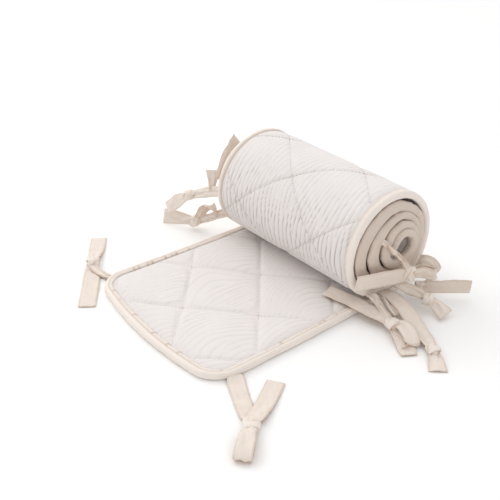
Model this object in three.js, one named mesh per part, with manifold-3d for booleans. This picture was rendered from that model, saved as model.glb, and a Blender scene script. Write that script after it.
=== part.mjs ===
// A quilted crib bumper: one long padded strip of crinkled cotton with a bound edge
// and knotted ties, partly rolled up. Units are millimetres, +Z is up, the strip's
// flat stretch lies on z = 0 and runs towards -Y, and the roll lies along X. The
// origin is on the strip's flat underside, in the middle of its width, just before
// the roll starts.

import * as THREE from 'three';
import { mergeVertices } from 'three/addons/utils/BufferGeometryUtils.js';
import Module from 'manifold-3d';

// Strip and quilting
const STRIP_WIDTH = 300;
const ROLL_WIDTH = 286;
const FLAT_LENGTH = 305;
const FLAT_SKEW = -3.6;
const END_BOW = 18.5;
const CORNER_RADIUS = 37;
const DIAMOND_LENGTH = 134;
const DIAMOND_WIDTH = 165;
const FIRST_CROSSING = 65.3;
const CROSSING_SHIFT = -13.2;
const PUFF_THICKNESS = 13;
const SEAM_THICKNESS = 7.5;
const OUTER_SEAM_DEPTH = 2.5;
const INNER_THICKNESS = 11;
const PUFF_STEEPNESS = 4;
const PUFF_CROWN = 0.45;
const OUTER_SEAM_FADE = 60;
const INNER_TURN_FADE = 40;

// Bound edge
const EDGE_HEIGHT = 5.5;
const EDGE_INSET = 4;
const WEDGE_WIDTH = 10;
const WEDGE_HALF = 3.5;
const BINDING_WIDTH = 13;
const BINDING_THICKNESS = 11;
const BINDING_TOP = 10.7;
const BINDING_SHOULDER = 3.2;
const RIM_INSET = 0.3;
const RIM_LOW = 3.3;
const RIM_HIGH = 7.7;
const ARM_SETBACK = 0.5;
const CREASE_GAP = 0.6;
const WEDGE_GAP = 0.4;

// Roll
const ROLL_CENTRE = 84.5;
const ROLL_START = 20;
const FULL_TURN = 360;
const INNER_STEP = 20;
const WINDING_END = 1790;

// Ties
const TIE_THICKNESS = 2.2;
const ROOT_GAP = 0.55;
const KNOT_SIDES = 8;
const KNOT_BANDS = 6;
const MERGE_DISTANCE = 1e-4;

// Winding of the strip: degrees turned from the ground, radius to the strip's outer
// face, how far the turn stands out towards +X, and how far its centre lies away (+Y)
// and up from the roll's own centre.
const WINDING = [
  { turn: 0, radius: 84.5, out: 0, away: 0, up: 0 },
  { turn: 90, radius: 84.5, out: 0, away: 0, up: 0 },
  { turn: 180, radius: 84.5, out: 0, away: 0, up: 0 },
  { turn: 270, radius: 84, out: 0, away: 0, up: 0 },
  { turn: 315, radius: 79, out: 0, away: 0, up: 0 },
  { turn: 360, radius: 70, out: 1, away: 0.5, up: 0 },
  { turn: 450, radius: 68, out: 2, away: 1.5, up: 0.5 },
  { turn: 540, radius: 65, out: 3, away: 2, up: 0.5 },
  { turn: 630, radius: 66, out: 4, away: 2, up: 1 },
  { turn: 720, radius: 58, out: 5, away: 2.5, up: 1.5 },
  { turn: 900, radius: 51.5, out: 8, away: 4, up: 2.5 },
  { turn: 1080, radius: 44.5, out: 10, away: 5, up: 3 },
  { turn: 1260, radius: 38, out: 13, away: 6, up: 4 },
  { turn: 1440, radius: 31, out: 15, away: 7, up: 5 },
  { turn: 1620, radius: 25.5, out: 17, away: 8, up: 6 },
  { turn: 1800, radius: 21, out: 19, away: 9, up: 6 },
];

const wasm = await Module();
wasm.setup();

const radians = THREE.MathUtils.degToRad;
const lerp = THREE.MathUtils.lerp;
const smooth = THREE.MathUtils.smoothstep;

// Value of one column of the winding table at an angle, with an even slope through the rows
function winding(column, turn) {
  const last = WINDING.length - 1;
  let row = 0;
  while (row < last - 1 && turn > WINDING[row + 1].turn) row += 1;
  const slope = (i) => {
    const before = WINDING[Math.max(i - 1, 0)];
    const after = WINDING[Math.min(i + 1, last)];
    return (after[column] - before[column]) / (after.turn - before.turn);
  };
  const from = WINDING[row];
  const to = WINDING[row + 1];
  const span = to.turn - from.turn;
  const t = (turn - from.turn) / span;
  const value = from[column] * (1 + 2 * t) * (1 - t) ** 2 + to[column] * (3 - 2 * t) * t ** 2;
  return value + span * t * (1 - t) * (slope(row) * (1 - t) - slope(row + 1) * t);
}

// Length of strip wound up at each step of angle, along the middle of its thickness
const LENGTH_STEP = 5;
const woundLengths = [0];
for (let turn = LENGTH_STEP; turn <= WINDING_END; turn += LENGTH_STEP) {
  const middle = winding('radius', turn - LENGTH_STEP / 2) - EDGE_HEIGHT;
  woundLengths.push(woundLengths.at(-1) + middle * radians(LENGTH_STEP));
}
const STRIP_LENGTH = FLAT_LENGTH + woundLengths.at(-1);

// Distance along the strip where the roll has turned by an angle
function lengthAt(turn) {
  const index = Math.min(Math.floor(turn / LENGTH_STEP), woundLengths.length - 2);
  const part = turn / LENGTH_STEP - index;
  return FLAT_LENGTH + lerp(woundLengths[index], woundLengths[index + 1], part);
}

// Angle turned at a distance along the strip
function turnAt(s) {
  const wound = s - FLAT_LENGTH;
  let index = 0;
  while (index < woundLengths.length - 2 && woundLengths[index + 1] < wound) index += 1;
  const step = woundLengths[index + 1] - woundLengths[index];
  return (index + (wound - woundLengths[index]) / step) * LENGTH_STEP;
}

// Place of a point of the strip: u across it, s along it, h above its outer face
function place(u, s, h) {
  if (s <= FLAT_LENGTH) {
    const t = 1 - s / FLAT_LENGTH;
    const skew = radians(FLAT_SKEW) * t;
    const across = (u * lerp(ROLL_WIDTH, STRIP_WIDTH, t)) / STRIP_WIDTH;
    const bow = END_BOW * t ** 4 * (1 - (2 * u / STRIP_WIDTH) ** 2);
    const x = (FLAT_LENGTH * skew * t) / 2 + across * Math.cos(skew);
    return new THREE.Vector3(x, -FLAT_LENGTH * t + across * Math.sin(skew) - bow, h);
  }
  const turn = turnAt(s);
  const radius = winding('radius', turn) - h;
  const x = (u * ROLL_WIDTH) / STRIP_WIDTH + winding('out', turn);
  const y = winding('away', turn) + radius * Math.sin(radians(turn));
  const z = ROLL_CENTRE + winding('up', turn) - radius * Math.cos(radians(turn));
  return new THREE.Vector3(x, y, z);
}

// How far a point is off the stitched lines of one direction (+1 or -1): 0 on a line,
// 1 midway between two
function offLine(u, s, direction) {
  const along = (s - FIRST_CROSSING) / DIAMOND_LENGTH;
  const across = (u - CROSSING_SHIFT) / DIAMOND_WIDTH;
  return Math.abs(Math.sin(Math.PI * (along + direction * across)));
}

// How full the quilting is at a point: 0 on a stitched line, 1 in a diamond's middle
function puff(u, s) {
  const a = offLine(u, s, 1);
  const b = offLine(u, s, -1);
  const shoulder = Math.sqrt(Math.min(PUFF_STEEPNESS * a * b, 1));
  return shoulder * (1 - PUFF_CROWN + PUFF_CROWN * Math.sqrt(a * b));
}

// Heights of the strip's two faces above its outer face at a point
function faces(u, s) {
  const full = puff(u, s);
  const wound = smooth(s, FLAT_LENGTH, FLAT_LENGTH + OUTER_SEAM_FADE);
  const inside = smooth(s, lengthAt(FULL_TURN), lengthAt(FULL_TURN + INNER_TURN_FADE));
  const outer = OUTER_SEAM_DEPTH * (1 - full) * wound;
  const inner = lerp(SEAM_THICKNESS, PUFF_THICKNESS, full);
  return {
    outer: outer * (1 - inside),
    inner: lerp(inner, INNER_THICKNESS, inside),
  };
}

// Rows across the padded panel, inside the bound edge: distance along the strip,
// half its width there, and the places of its points across
const ROW_GAP = DIAMOND_LENGTH / 8;
const COLUMN_GAP = DIAMOND_WIDTH / 8;
const PANEL_INSET = EDGE_INSET + WEDGE_WIDTH;
const ARC_RADIUS = CORNER_RADIUS - PANEL_INSET;
const FINE_COLUMNS = [-5, -4, -3, -2, -1, 0, 1, 2, 3, 4, 5, 6].map((k) => {
  return CROSSING_SHIFT + k * COLUMN_GAP;
});
const COARSE_COLUMNS = [-120, -60, 0, 60, 120];
const LEAST_COLUMN_GAP = 6;
const LEAST_ROW_GAP = 4;
const NEAR_CORNER = [0, 20, 42, 66, 78];
const INNER_CORNER = [76, 63, 50, 38, 26, 13, 0];

function halfWidth(s) {
  const fromEnd = Math.min(s, STRIP_LENGTH - s);
  const into = Math.max(CORNER_RADIUS - fromEnd, 0);
  const arc = Math.sqrt(Math.max(ARC_RADIUS ** 2 - into ** 2, 0));
  return STRIP_WIDTH / 2 - CORNER_RADIUS + arc;
}

function panelRow(s, columns) {
  const half = halfWidth(s);
  const inside = columns.filter((u) => Math.abs(u) < half - LEAST_COLUMN_GAP);
  return { s, across: [-half, ...inside, half] };
}

function panelRows() {
  const alongArc = (angle) => CORNER_RADIUS - ARC_RADIUS * Math.cos(radians(angle));
  const rows = NEAR_CORNER.map((angle) => panelRow(alongArc(angle), FINE_COLUMNS));
  const outerEnd = lengthAt(FULL_TURN);
  for (let s = FIRST_CROSSING - ROW_GAP; s < outerEnd; s += ROW_GAP) {
    rows.push(panelRow(s, FINE_COLUMNS));
  }
  const lastPlain = STRIP_LENGTH - CORNER_RADIUS;
  const lastTurn = turnAt(lastPlain - LEAST_ROW_GAP);
  for (let turn = FULL_TURN + INNER_STEP; turn < lastTurn; turn += INNER_STEP) {
    rows.push(panelRow(lengthAt(turn), COARSE_COLUMNS));
  }
  rows.push(panelRow(lastPlain, COARSE_COLUMNS));
  for (const angle of INNER_CORNER) {
    rows.push(panelRow(STRIP_LENGTH - alongArc(angle), COARSE_COLUMNS));
  }
  return rows;
}

// Outward direction, in the strip's own plane, at a point on the panel's outline
function outward(u, s) {
  const nearEnd = s < STRIP_LENGTH / 2;
  const into = nearEnd ? CORNER_RADIUS - s : s - (STRIP_LENGTH - CORNER_RADIUS);
  if (into <= 0) return { u: Math.sign(u), s: 0 };
  const side = Math.max(Math.abs(u) - (STRIP_WIDTH / 2 - CORNER_RADIUS), 0);
  const length = Math.hypot(side, into);
  return { u: (Math.sign(u) * side) / length, s: ((nearEnd ? -1 : 1) * into) / length };
}

// The panel's outline as one ring of strip points, run the same way round as u to s
function outline(rows) {
  const ring = [];
  const last = rows.length - 1;
  const add = (row, column) => {
    const u = rows[row].across[column];
    ring.push({ row, column, u, s: rows[row].s, out: outward(u, rows[row].s) });
  };
  for (let j = 0; j < rows[0].across.length; j += 1) add(0, j);
  for (let i = 1; i < last; i += 1) add(i, rows[i].across.length - 1);
  for (let j = rows[last].across.length - 1; j >= 0; j -= 1) add(last, j);
  for (let i = last - 1; i > 0; i -= 1) add(i, 0);
  return ring;
}

// A mesh under construction: points, and triangles as point numbers
class Shell {
  constructor() {
    this.points = [];
    this.triangles = [];
  }

  point(vector) {
    this.points.push(vector.x, vector.y, vector.z);
    return this.points.length / 3 - 1;
  }

  triangle(a, b, c) {
    this.triangles.push(a, b, c);
  }

  quad(a, b, c, d) {
    this.triangle(a, b, c);
    this.triangle(a, c, d);
  }

  geometry() {
    const geometry = new THREE.BufferGeometry();
    geometry.setAttribute('position', new THREE.Float32BufferAttribute(this.points, 3));
    geometry.setIndex(this.triangles);
    geometry.computeVertexNormals();
    return geometry;
  }
}

// Fill between two rows of points, splitting cells along the stitched diagonals
function fillRows(shell, rowA, idsA, rowB, idsB, flip) {
  const emit = (a, b, c) => (flip ? shell.triangle(a, c, b) : shell.triangle(a, b, c));
  const same = idsA.length === idsB.length;
  let i = 0;
  let j = 0;
  while (i < idsA.length - 1 || j < idsB.length - 1) {
    const canA = i < idsA.length - 1;
    const canB = j < idsB.length - 1;
    if (same && canA && canB && i === j) {
      if (offLine(rowA.across[i], rowB.s, 1) < offLine(rowA.across[i], rowA.s, -1)) {
        emit(idsA[i], idsA[i + 1], idsB[j]);
        emit(idsA[i + 1], idsB[j + 1], idsB[j]);
      } else {
        emit(idsA[i], idsA[i + 1], idsB[j + 1]);
        emit(idsA[i], idsB[j + 1], idsB[j]);
      }
      i += 1;
      j += 1;
    } else if (canA && (!canB || rowA.across[i + 1] <= rowB.across[j + 1])) {
      emit(idsA[i], idsA[i + 1], idsB[j]);
      i += 1;
    } else {
      emit(idsA[i], idsB[j + 1], idsB[j]);
      j += 1;
    }
  }
}

// The quilted panel: two faces over the rows, closed by a wedge down to its thin edge
function quiltedPanel(rows, ring) {
  const shell = new Shell();
  const outerIds = [];
  const innerIds = [];
  const rim = { outer: EDGE_HEIGHT - WEDGE_HALF, inner: EDGE_HEIGHT + WEDGE_HALF };
  rows.forEach((row) => {
    const isEndRow = row === rows[0] || row === rows.at(-1);
    const lastColumn = row.across.length - 1;
    const heights = row.across.map((u, j) => {
      return isEndRow || j === 0 || j === lastColumn ? rim : faces(u, row.s);
    });
    outerIds.push(row.across.map((u, j) => shell.point(place(u, row.s, heights[j].outer))));
    innerIds.push(row.across.map((u, j) => shell.point(place(u, row.s, heights[j].inner))));
  });
  for (let i = 0; i < rows.length - 1; i += 1) {
    fillRows(shell, rows[i], outerIds[i], rows[i + 1], outerIds[i + 1], true);
    fillRows(shell, rows[i], innerIds[i], rows[i + 1], innerIds[i + 1], false);
  }
  const edgeIds = ring.map(({ u, s, out }) => {
    return shell.point(place(u + out.u * WEDGE_WIDTH, s + out.s * WEDGE_WIDTH, EDGE_HEIGHT));
  });
  ring.forEach((at, k) => {
    const next = (k + 1) % ring.length;
    const to = ring[next];
    shell.quad(innerIds[at.row][at.column], edgeIds[k], edgeIds[next], innerIds[to.row][to.column]);
    shell.quad(edgeIds[k], outerIds[at.row][at.column], outerIds[to.row][to.column], edgeIds[next]);
  });
  return shell.geometry();
}

// The binding's section: inset from its rim, and height above the strip's outer face
const wedgeAt = (inset) => (WEDGE_HALF * (inset - EDGE_INSET)) / WEDGE_WIDTH + WEDGE_GAP;
const ARM_END = BINDING_WIDTH - ARM_SETBACK;
const BINDING_SECTION = [
  { inset: RIM_INSET, height: RIM_HIGH },
  { inset: BINDING_SHOULDER, height: BINDING_THICKNESS },
  { inset: ARM_END, height: BINDING_TOP },
  { inset: ARM_END, height: EDGE_HEIGHT + wedgeAt(ARM_END) },
  { inset: EDGE_INSET - CREASE_GAP, height: EDGE_HEIGHT },
  { inset: ARM_END, height: EDGE_HEIGHT - wedgeAt(ARM_END) },
  { inset: ARM_END, height: 0 },
  { inset: BINDING_SHOULDER, height: 0 },
  { inset: RIM_INSET, height: RIM_LOW },
];

// The binding: its section carried once round the strip's outline, each time in the
// plane of the panel's wedge there, so that the gap between them is even
function binding(ring) {
  const shell = new Shell();
  const loops = ring.map(({ u, s, out }) => {
    const edge = place(u + out.u * WEDGE_WIDTH, s + out.s * WEDGE_WIDTH, EDGE_HEIGHT);
    const below = place(u, s, EDGE_HEIGHT - WEDGE_HALF);
    const above = place(u, s, EDGE_HEIGHT + WEDGE_HALF);
    const inward = above.clone().add(below).multiplyScalar(0.5).sub(edge).divideScalar(WEDGE_WIDTH);
    const rise = above.clone().sub(below).divideScalar(2 * WEDGE_HALF);
    return BINDING_SECTION.map(({ inset, height }) => {
      const corner = edge.clone().addScaledVector(inward, inset - EDGE_INSET);
      return shell.point(corner.addScaledVector(rise, height - EDGE_HEIGHT));
    });
  });
  loops.forEach((loop, k) => {
    const next = loops[(k + 1) % loops.length];
    loop.forEach((id, m) => {
      const after = (m + 1) % loop.length;
      shell.quad(id, next[m], next[after], loop[after]);
    });
  });
  return shell.geometry();
}

// Where a tie is sewn to the strip's long edge: just outside the rim, at mid height
function root(side, s, wide) {
  const into = Math.max(CORNER_RADIUS - s, 0);
  const reach = Math.sqrt(CORNER_RADIUS ** 2 - into ** 2);
  const u = STRIP_WIDTH / 2 - CORNER_RADIUS + reach + (ROOT_GAP * reach) / CORNER_RADIUS;
  const at = place(side * u, s - (ROOT_GAP * into) / CORNER_RADIUS, EDGE_HEIGHT);
  const slope = into / reach;
  const ahead = place(side * (u + slope), s + 1, EDGE_HEIGHT);
  return { at, across: ahead.sub(at).normalize(), wide };
}

// Sections of a ribbon from table rows: middle, heading and tip of its width, width
function sections(table) {
  return table.map(([x, y, z, heading, tip, wide]) => {
    const level = Math.cos(radians(tip));
    const across = new THREE.Vector3(
      level * Math.cos(radians(heading)),
      level * Math.sin(radians(heading)),
      Math.sin(radians(tip)),
    );
    return { at: new THREE.Vector3(x, y, z), across, wide };
  });
}

// A closed mesh as a solid that can be joined to others
function toSolid(geometry) {
  const bare = new THREE.BufferGeometry();
  bare.setAttribute('position', geometry.getAttribute('position'));
  bare.setIndex(geometry.getIndex());
  const merged = mergeVertices(bare, MERGE_DISTANCE);
  const vertProperties = new Float32Array(merged.getAttribute('position').array);
  const triVerts = new Uint32Array(merged.getIndex().array);
  return new wasm.Manifold(new wasm.Mesh({ numProp: 3, vertProperties, triVerts }));
}

// A flat ribbon of even thickness through its sections
function ribbon(stations) {
  const shell = new Shell();
  const loops = stations.map(({ at, across, wide }, i) => {
    const before = stations[Math.max(i - 1, 0)].at;
    const after = stations[Math.min(i + 1, stations.length - 1)].at;
    const along = after.clone().sub(before).normalize();
    const thick = along.clone().cross(across).normalize().multiplyScalar(TIE_THICKNESS / 2);
    const half = across.clone().multiplyScalar(wide / 2);
    const corner = (a, b) => {
      return shell.point(at.clone().addScaledVector(half, a).addScaledVector(thick, b));
    };
    return [corner(-1, -1), corner(1, -1), corner(1, 1), corner(-1, 1)];
  });
  for (let i = 0; i < loops.length - 1; i += 1) {
    const next = loops[i + 1];
    loops[i].forEach((id, m) => {
      const after = (m + 1) % next.length;
      shell.quad(id, loops[i][after], next[after], next[m]);
    });
  }
  const [first, last] = [loops[0], loops.at(-1)];
  shell.quad(first[3], first[2], first[1], first[0]);
  shell.quad(last[0], last[1], last[2], last[3]);
  return toSolid(shell.geometry());
}

// The lump of a knot: a round body pressed to its three half sizes
function knot({ at, size, heading = 0 }) {
  const body = new THREE.SphereGeometry(1, KNOT_SIDES, KNOT_BANDS);
  body.scale(...size);
  body.rotateZ(radians(heading));
  body.translate(...at);
  return toSolid(body);
}

// A tie: its ribbons and knot joined into one solid
function tie({ side, s, rootWide, stem, ribbons, lump }) {
  const stemSolid = ribbon([root(side, s, rootWide), ...sections(stem)]);
  const lumps = lump ? [knot(lump)] : [];
  const pieces = [stemSolid, ...ribbons.map((table) => ribbon(sections(table))), ...lumps];
  const { vertProperties, triVerts } = pieces.reduce((whole, piece) => whole.add(piece)).getMesh();
  const geometry = new THREE.BufferGeometry();
  geometry.setAttribute('position', new THREE.BufferAttribute(vertProperties, 3));
  geometry.setIndex(new THREE.BufferAttribute(triVerts, 1));
  return geometry;
}

// The ties. Each row of a ribbon's table: x, y, z of its middle, heading of its width
// in plan and tip of its width above level, both in degrees, and its width.
const TIES = {
  tie_near_right: {
    side: 1,
    s: 34,
    rootWide: 22,
    stem: [
      [147, -285, 3, 87, 0, 24],
      [174, -300, 1.6, 67, 0, 23],
      [203, -314, 2.5, 65, 0, 22],
      [222, -323, 6, 60, 0, 16],
    ],
    ribbons: [
      [
        [224, -324, 9, 35, 0, 16],
        [217, -310, 7, 33, 0, 22],
        [203, -284, 3, 32, 0, 24],
        [181, -248, 1.6, 30, 0, 25],
      ],
      [
        [226, -328, 8, 42, 0, 16],
        [243, -348, 13, 42, 0, 22],
        [255, -363, 12, 44, 0, 23],
        [261, -370, 6, 44, 0, 23],
      ],
      [
        [227, -329, 4, 42, 0, 16],
        [243, -348, 1.6, 42, 0, 20],
        [256, -364, 2, 44, 0, 23],
        [262, -371, 6, 44, 0, 23],
      ],
    ],
    lump: { at: [225, -326, 6.6], size: [14, 11, 6], heading: -50 },
  },
  tie_near_left: {
    side: -1,
    s: 21.5,
    rootWide: 10,
    stem: [
      [-163, -279, 5, 85, 20, 10],
      [-176, -281, 5, 80, 0, 14],
      [-191, -283, 7, 70, 0, 13],
      [-202, -279, 7, 50, 0, 12],
    ],
    ribbons: [
      [
        [-210, -272, 8, 52, 0, 13],
        [-222, -262, 6, 52, 0, 18],
        [-240, -248, 2.5, 52, 0, 24],
        [-270, -225, 1.6, 52, 0, 25],
      ],
      [
        [-202, -279, 6, 50, 0, 15],
        [-183, -292, 3, 52, 0, 24],
        [-153, -314, 1.6, 54, 0, 25],
        [-117, -342, 1.6, 54, 0, 25],
      ],
    ],
    lump: { at: [-206, -276, 7.4], size: [12, 11, 7], heading: 35 },
  },
  tie_roll_left_low: {
    side: -1,
    s: lengthAt(300),
    rootWide: 16,
    stem: [
      [-158, -70, 36, -40, -60, 13],
      [-172, -74, 27, -40, -65, 13],
      [-192, -86, 17, -40, -60, 13],
    ],
    ribbons: [
      [
        [-160, -72, 36, -40, -60, 10],
        [-164, -80, 52, 40, 0, 11],
        [-178, -80, 44, 60, -20, 12],
        [-192, -86, 20, 60, -20, 12],
      ],
      [
        [-198, -89, 15, -45, -75, 13],
        [-226, -102, 14, -45, -70, 22],
        [-246, -114, 13, -49, -62, 25],
      ],
    ],
    lump: { at: [-196, -88, 15], size: [12, 10, 10], heading: 40 },
  },
  tie_roll_left_mid: {
    side: -1,
    s: lengthAt(268),
    rootWide: 18,
    stem: [
      [-157, -81, 82, -30, -75, 17],
      [-174, -82, 74, -40, -65, 17],
      [-200, -89, 62, -40, -60, 13],
    ],
    ribbons: [
      [
        [-160, -81, 82, 50, 0, 8],
        [-161, -77, 98, 50, 0, 14],
        [-166, -72, 113, 50, 0, 22],
      ],
      [
        [-206, -92, 60, -35, -50, 13],
        [-222, -103, 46, -20, -45, 24],
        [-238, -112, 30, -10, -40, 20],
      ],
    ],
    lump: { at: [-205, -91, 60], size: [12, 10, 9], heading: 40 },
  },
  tie_roll_left_high: {
    side: -1,
    s: lengthAt(254),
    rootWide: 14,
    stem: [
      [-150, -74, 108, 90, 10, 9],
      [-154, -66, 118, 90, -40, 12],
      [-159, -50, 134, 90, -38, 19],
      [-166, -22, 151, 90, -37, 25],
    ],
    ribbons: [],
    lump: null,
  },
  tie_roll_right_low: {
    side: 1,
    s: lengthAt(325),
    rootWide: 14,
    stem: [
      [152, -42, 27, 75, 10, 12],
      [163, -42, 21, 72, 0, 12],
      [180, -47, 16, 65, 0, 11],
      [198, -54, 13, 60, 0, 12],
    ],
    ribbons: [
      [
        [90, -70, 17.5, -64, -5, 25],
        [132, -61, 16.5, -74, -5, 25],
        [170, -57, 15, -84, -4, 24],
        [198, -55, 13, -84, -4, 15],
      ],
      [
        [202, -55, 13, 75, 0, 15],
        [226, -62, 11, 72, 0, 25],
        [243, -70, 7, 65, 0, 26],
        [254, -79, 2.5, 60, 0, 22],
      ],
      [
        [202, -52, 15, 78, 10, 14],
        [218, -52, 18, 76, 12, 20],
        [236, -58, 13, 74, 10, 22],
        [243, -63, 8, 72, 0, 20],
      ],
    ],
    lump: { at: [202, -55, 13.5], size: [14, 11, 8], heading: -15 },
  },
  tie_roll_right_mid: {
    side: 1,
    s: lengthAt(955),
    rootWide: 9,
    stem: [
      [166, -24, 100, 60, -30, 7],
      [173, -6, 78, 60, -30, 8],
      [175, 2, 62, 70, -30, 10],
    ],
    ribbons: [
      [
        [152, -78, 61, -75, 84, 26],
        [161, -46, 59, -75, 84, 26],
        [171, -8, 55, -75, 84, 25],
        [175, 6, 54, -75, 84, 20],
      ],
      [
        [175, 6, 54, -65, 80, 20],
        [183, 24, 52, -65, 78, 19],
        [188, 42, 46, -50, 75, 17],
        [186, 50, 42, 0, 75, 14],
      ],
      [
        [175, 6, 54, -80, 80, 18],
        [174, 24, 54, -85, 80, 18],
        [180, 42, 47, -85, 78, 16],
        [187, 50, 42, -85, 75, 14],
      ],
    ],
    lump: { at: [176, 4, 56], size: [8, 9, 14], heading: 0 },
  },
  tie_roll_right_far: {
    side: 1,
    s: lengthAt(52),
    rootWide: 18,
    stem: [
      [152, 66, 41, 90, 60, 19],
      [159, 73, 37, 90, 55, 20],
      [166, 76, 29, 70, 60, 18],
      [171, 66, 22, 20, 75, 15],
      [170, 42, 19, 0, 80, 14],
    ],
    ribbons: [
      [
        [169, 36, 19, -40, 84, 15],
        [182, 46, 20, -42, 84, 22],
        [201, 67, 21, -42, 84, 24],
        [221, 89, 21, -42, 80, 25],
      ],
    ],
    lump: { at: [170, 37, 18.5], size: [9, 9, 9.5], heading: 0 },
  },
  tie_roll_right_in: {
    side: 1,
    s: lengthAt(712),
    rootWide: 12,
    stem: [
      [163, -1, 34, -40, -60, 12],
      [176, 8, 29, -45, -75, 17],
      [190, 15, 25, -50, -70, 14],
      [200, 19, 21, -50, -60, 12],
    ],
    ribbons: [
      [
        [201, 20, 21, -65, -55, 12],
        [212, 22, 16, -80, -45, 16],
        [232, 23, 8, -86, -22, 24],
      ],
    ],
    lump: { at: [201, 19, 20.5], size: [10, 10, 9], heading: 20 },
  },
  tie_roll_right_out: {
    side: 1,
    s: lengthAt(345),
    rootWide: 18,
    stem: [
      [158, -16, 23, 80, 0, 20],
      [184, -19, 21, 78, 0, 24],
      [215, -28, 14, 70, 0, 24],
      [248, -40, 8.5, 68, 0, 21],
      [268, -49, 7, 66, 0, 14],
    ],
    ribbons: [
      [
        [156, -22, 22, 80, 0, 10],
        [178, -31, 17, 72, 0, 11],
        [193, -34, 14, 70, 0, 11],
      ],
      [
        [272, -51, 6, 55, 0, 13],
        [284, -61, 4, 50, 0, 19],
        [300, -76, 1.8, 46, 0, 25],
      ],
    ],
    lump: { at: [270, -50, 7], size: [12, 10, 6], heading: -25 },
  },
};

function mesh(name, geometry, colour) {
  const material = new THREE.MeshStandardMaterial({ color: colour, roughness: 0.95, metalness: 0 });
  const part = new THREE.Mesh(geometry, material);
  part.name = name;
  return part;
}

const MUSLIN = 0xefe9e6;
const SATEEN = 0xf3e6d8;
const TIE_CLOTH = 0xf0e6dc;

const rows = panelRows();
const ring = outline(rows);
const bumper = new THREE.Group();
bumper.position.set(0, ROLL_START, 0);
bumper.add(mesh('quilted_panel', quiltedPanel(rows, ring), MUSLIN));
bumper.add(mesh('edge_binding', binding(ring), SATEEN));
for (const [name, layout] of Object.entries(TIES)) bumper.add(mesh(name, tie(layout), TIE_CLOTH));

export default bumper;
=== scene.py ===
"""Looks for a quilted crib bumper, laid out as an add-on.

A long padded strip of crinkled cotton muslin, bound in cotton sateen and fitted with
knotted ribbon ties, lies half rolled up. Lengths are in metres unless a name or a
comment says otherwise. The strip has its own coordinates: u across it, s along it from
its flat end, and h above the face that turns outwards on the roll.
"""

import math

import bmesh
import bpy
import numpy as np
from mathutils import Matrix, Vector


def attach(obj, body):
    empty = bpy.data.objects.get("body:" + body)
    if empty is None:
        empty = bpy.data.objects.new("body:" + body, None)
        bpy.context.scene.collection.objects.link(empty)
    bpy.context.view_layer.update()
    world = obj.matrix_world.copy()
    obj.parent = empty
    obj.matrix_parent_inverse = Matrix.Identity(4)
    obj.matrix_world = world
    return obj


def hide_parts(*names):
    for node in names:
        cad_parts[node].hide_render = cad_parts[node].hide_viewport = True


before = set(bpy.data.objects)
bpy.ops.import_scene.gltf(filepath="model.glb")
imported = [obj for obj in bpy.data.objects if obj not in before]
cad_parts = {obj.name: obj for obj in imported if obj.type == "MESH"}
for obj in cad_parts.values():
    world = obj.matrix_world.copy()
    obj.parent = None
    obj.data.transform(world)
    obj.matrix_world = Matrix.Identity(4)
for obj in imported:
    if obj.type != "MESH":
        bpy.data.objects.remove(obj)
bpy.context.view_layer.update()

bl_info = {
    "name": "Crib Bumper",
    "version": (1, 0, 0),
    "blender": (4, 5, 0),
    "location": "View3D > Sidebar > Bumper",
    "description": "Quilted muslin strip with a bound edge and knotted ties, half rolled up",
    "category": "Add Mesh",
}

MM = 0.001

# The strip and its quilting
STRIP_WIDTH = 0.300
ROLL_WIDTH = 0.286
FLAT_LENGTH = 0.305
FLAT_SKEW = math.radians(-3.6)
END_BOW = 0.0185
CORNER_RADIUS = 0.037
DIAMOND_LENGTH = 0.134
DIAMOND_WIDTH = 0.165
FIRST_CROSSING = 0.0653
CROSSING_SHIFT = -0.0132
PUFF_THICKNESS = 0.013
SEAM_THICKNESS = 0.0075
OUTER_SEAM_DEPTH = 0.0025
INNER_THICKNESS = 0.011
EDGE_HEIGHT = 0.0055
LEAST_HEIGHT = 0.0001

# The roll, and where the origin lies before it
ROLL_CENTRE = 0.0845
ROLL_START = 0.020
FULL_TURN = 360
WINDING_END = 1790
ANGLE_STEP = 5


def curve_through(values, knots, at):
    """Smooth curve through rows of values: cubics whose slope at a row is that between
    its neighbours."""
    slopes = np.empty(values.shape)
    gap = (knots[2:] - knots[:-2]).reshape(-1, *[1] * (values.ndim - 1))
    slopes[1:-1] = (values[2:] - values[:-2]) / gap
    slopes[0] = (values[1] - values[0]) / (knots[1] - knots[0])
    slopes[-1] = (values[-1] - values[-2]) / (knots[-1] - knots[-2])
    i = np.clip(np.searchsorted(knots, at) - 1, 0, len(knots) - 2)
    span = knots[i + 1] - knots[i]
    t = (at - knots[i]) / span
    if values.ndim > 1:
        t, span = t[:, None], span[:, None]
    value = values[i] * (1 + 2 * t) * (1 - t) ** 2 + values[i + 1] * (3 - 2 * t) * t**2
    return value + span * t * (1 - t) * (slopes[i] * (1 - t) - slopes[i + 1] * t)


# Winding of the strip: degrees turned from the ground, then in millimetres the radius to
# the outer face, how far the turn stands out towards +X, and how far its centre lies
# away (+Y) and up from the roll's own centre
WINDING = (
    (0, 84.5, 0, 0, 0),
    (90, 84.5, 0, 0, 0),
    (180, 84.5, 0, 0, 0),
    (270, 84, 0, 0, 0),
    (315, 79, 0, 0, 0),
    (360, 70, 1, 0.5, 0),
    (450, 68, 2, 1.5, 0.5),
    (540, 65, 3, 2, 0.5),
    (630, 66, 4, 2, 1),
    (720, 58, 5, 2.5, 1.5),
    (900, 51.5, 8, 4, 2.5),
    (1080, 44.5, 10, 5, 3),
    (1260, 38, 13, 6, 4),
    (1440, 31, 15, 7, 5),
    (1620, 25.5, 17, 8, 6),
    (1800, 21, 19, 9, 6),
)
TURNS = np.array(WINDING)[:, 0]
RADIUS, OUT, AWAY, UP = (np.array(WINDING)[:, 1:] * MM).T


def winding(column, turn):
    """One column of the winding table at an angle in degrees."""
    return curve_through(column, TURNS, turn)


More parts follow.
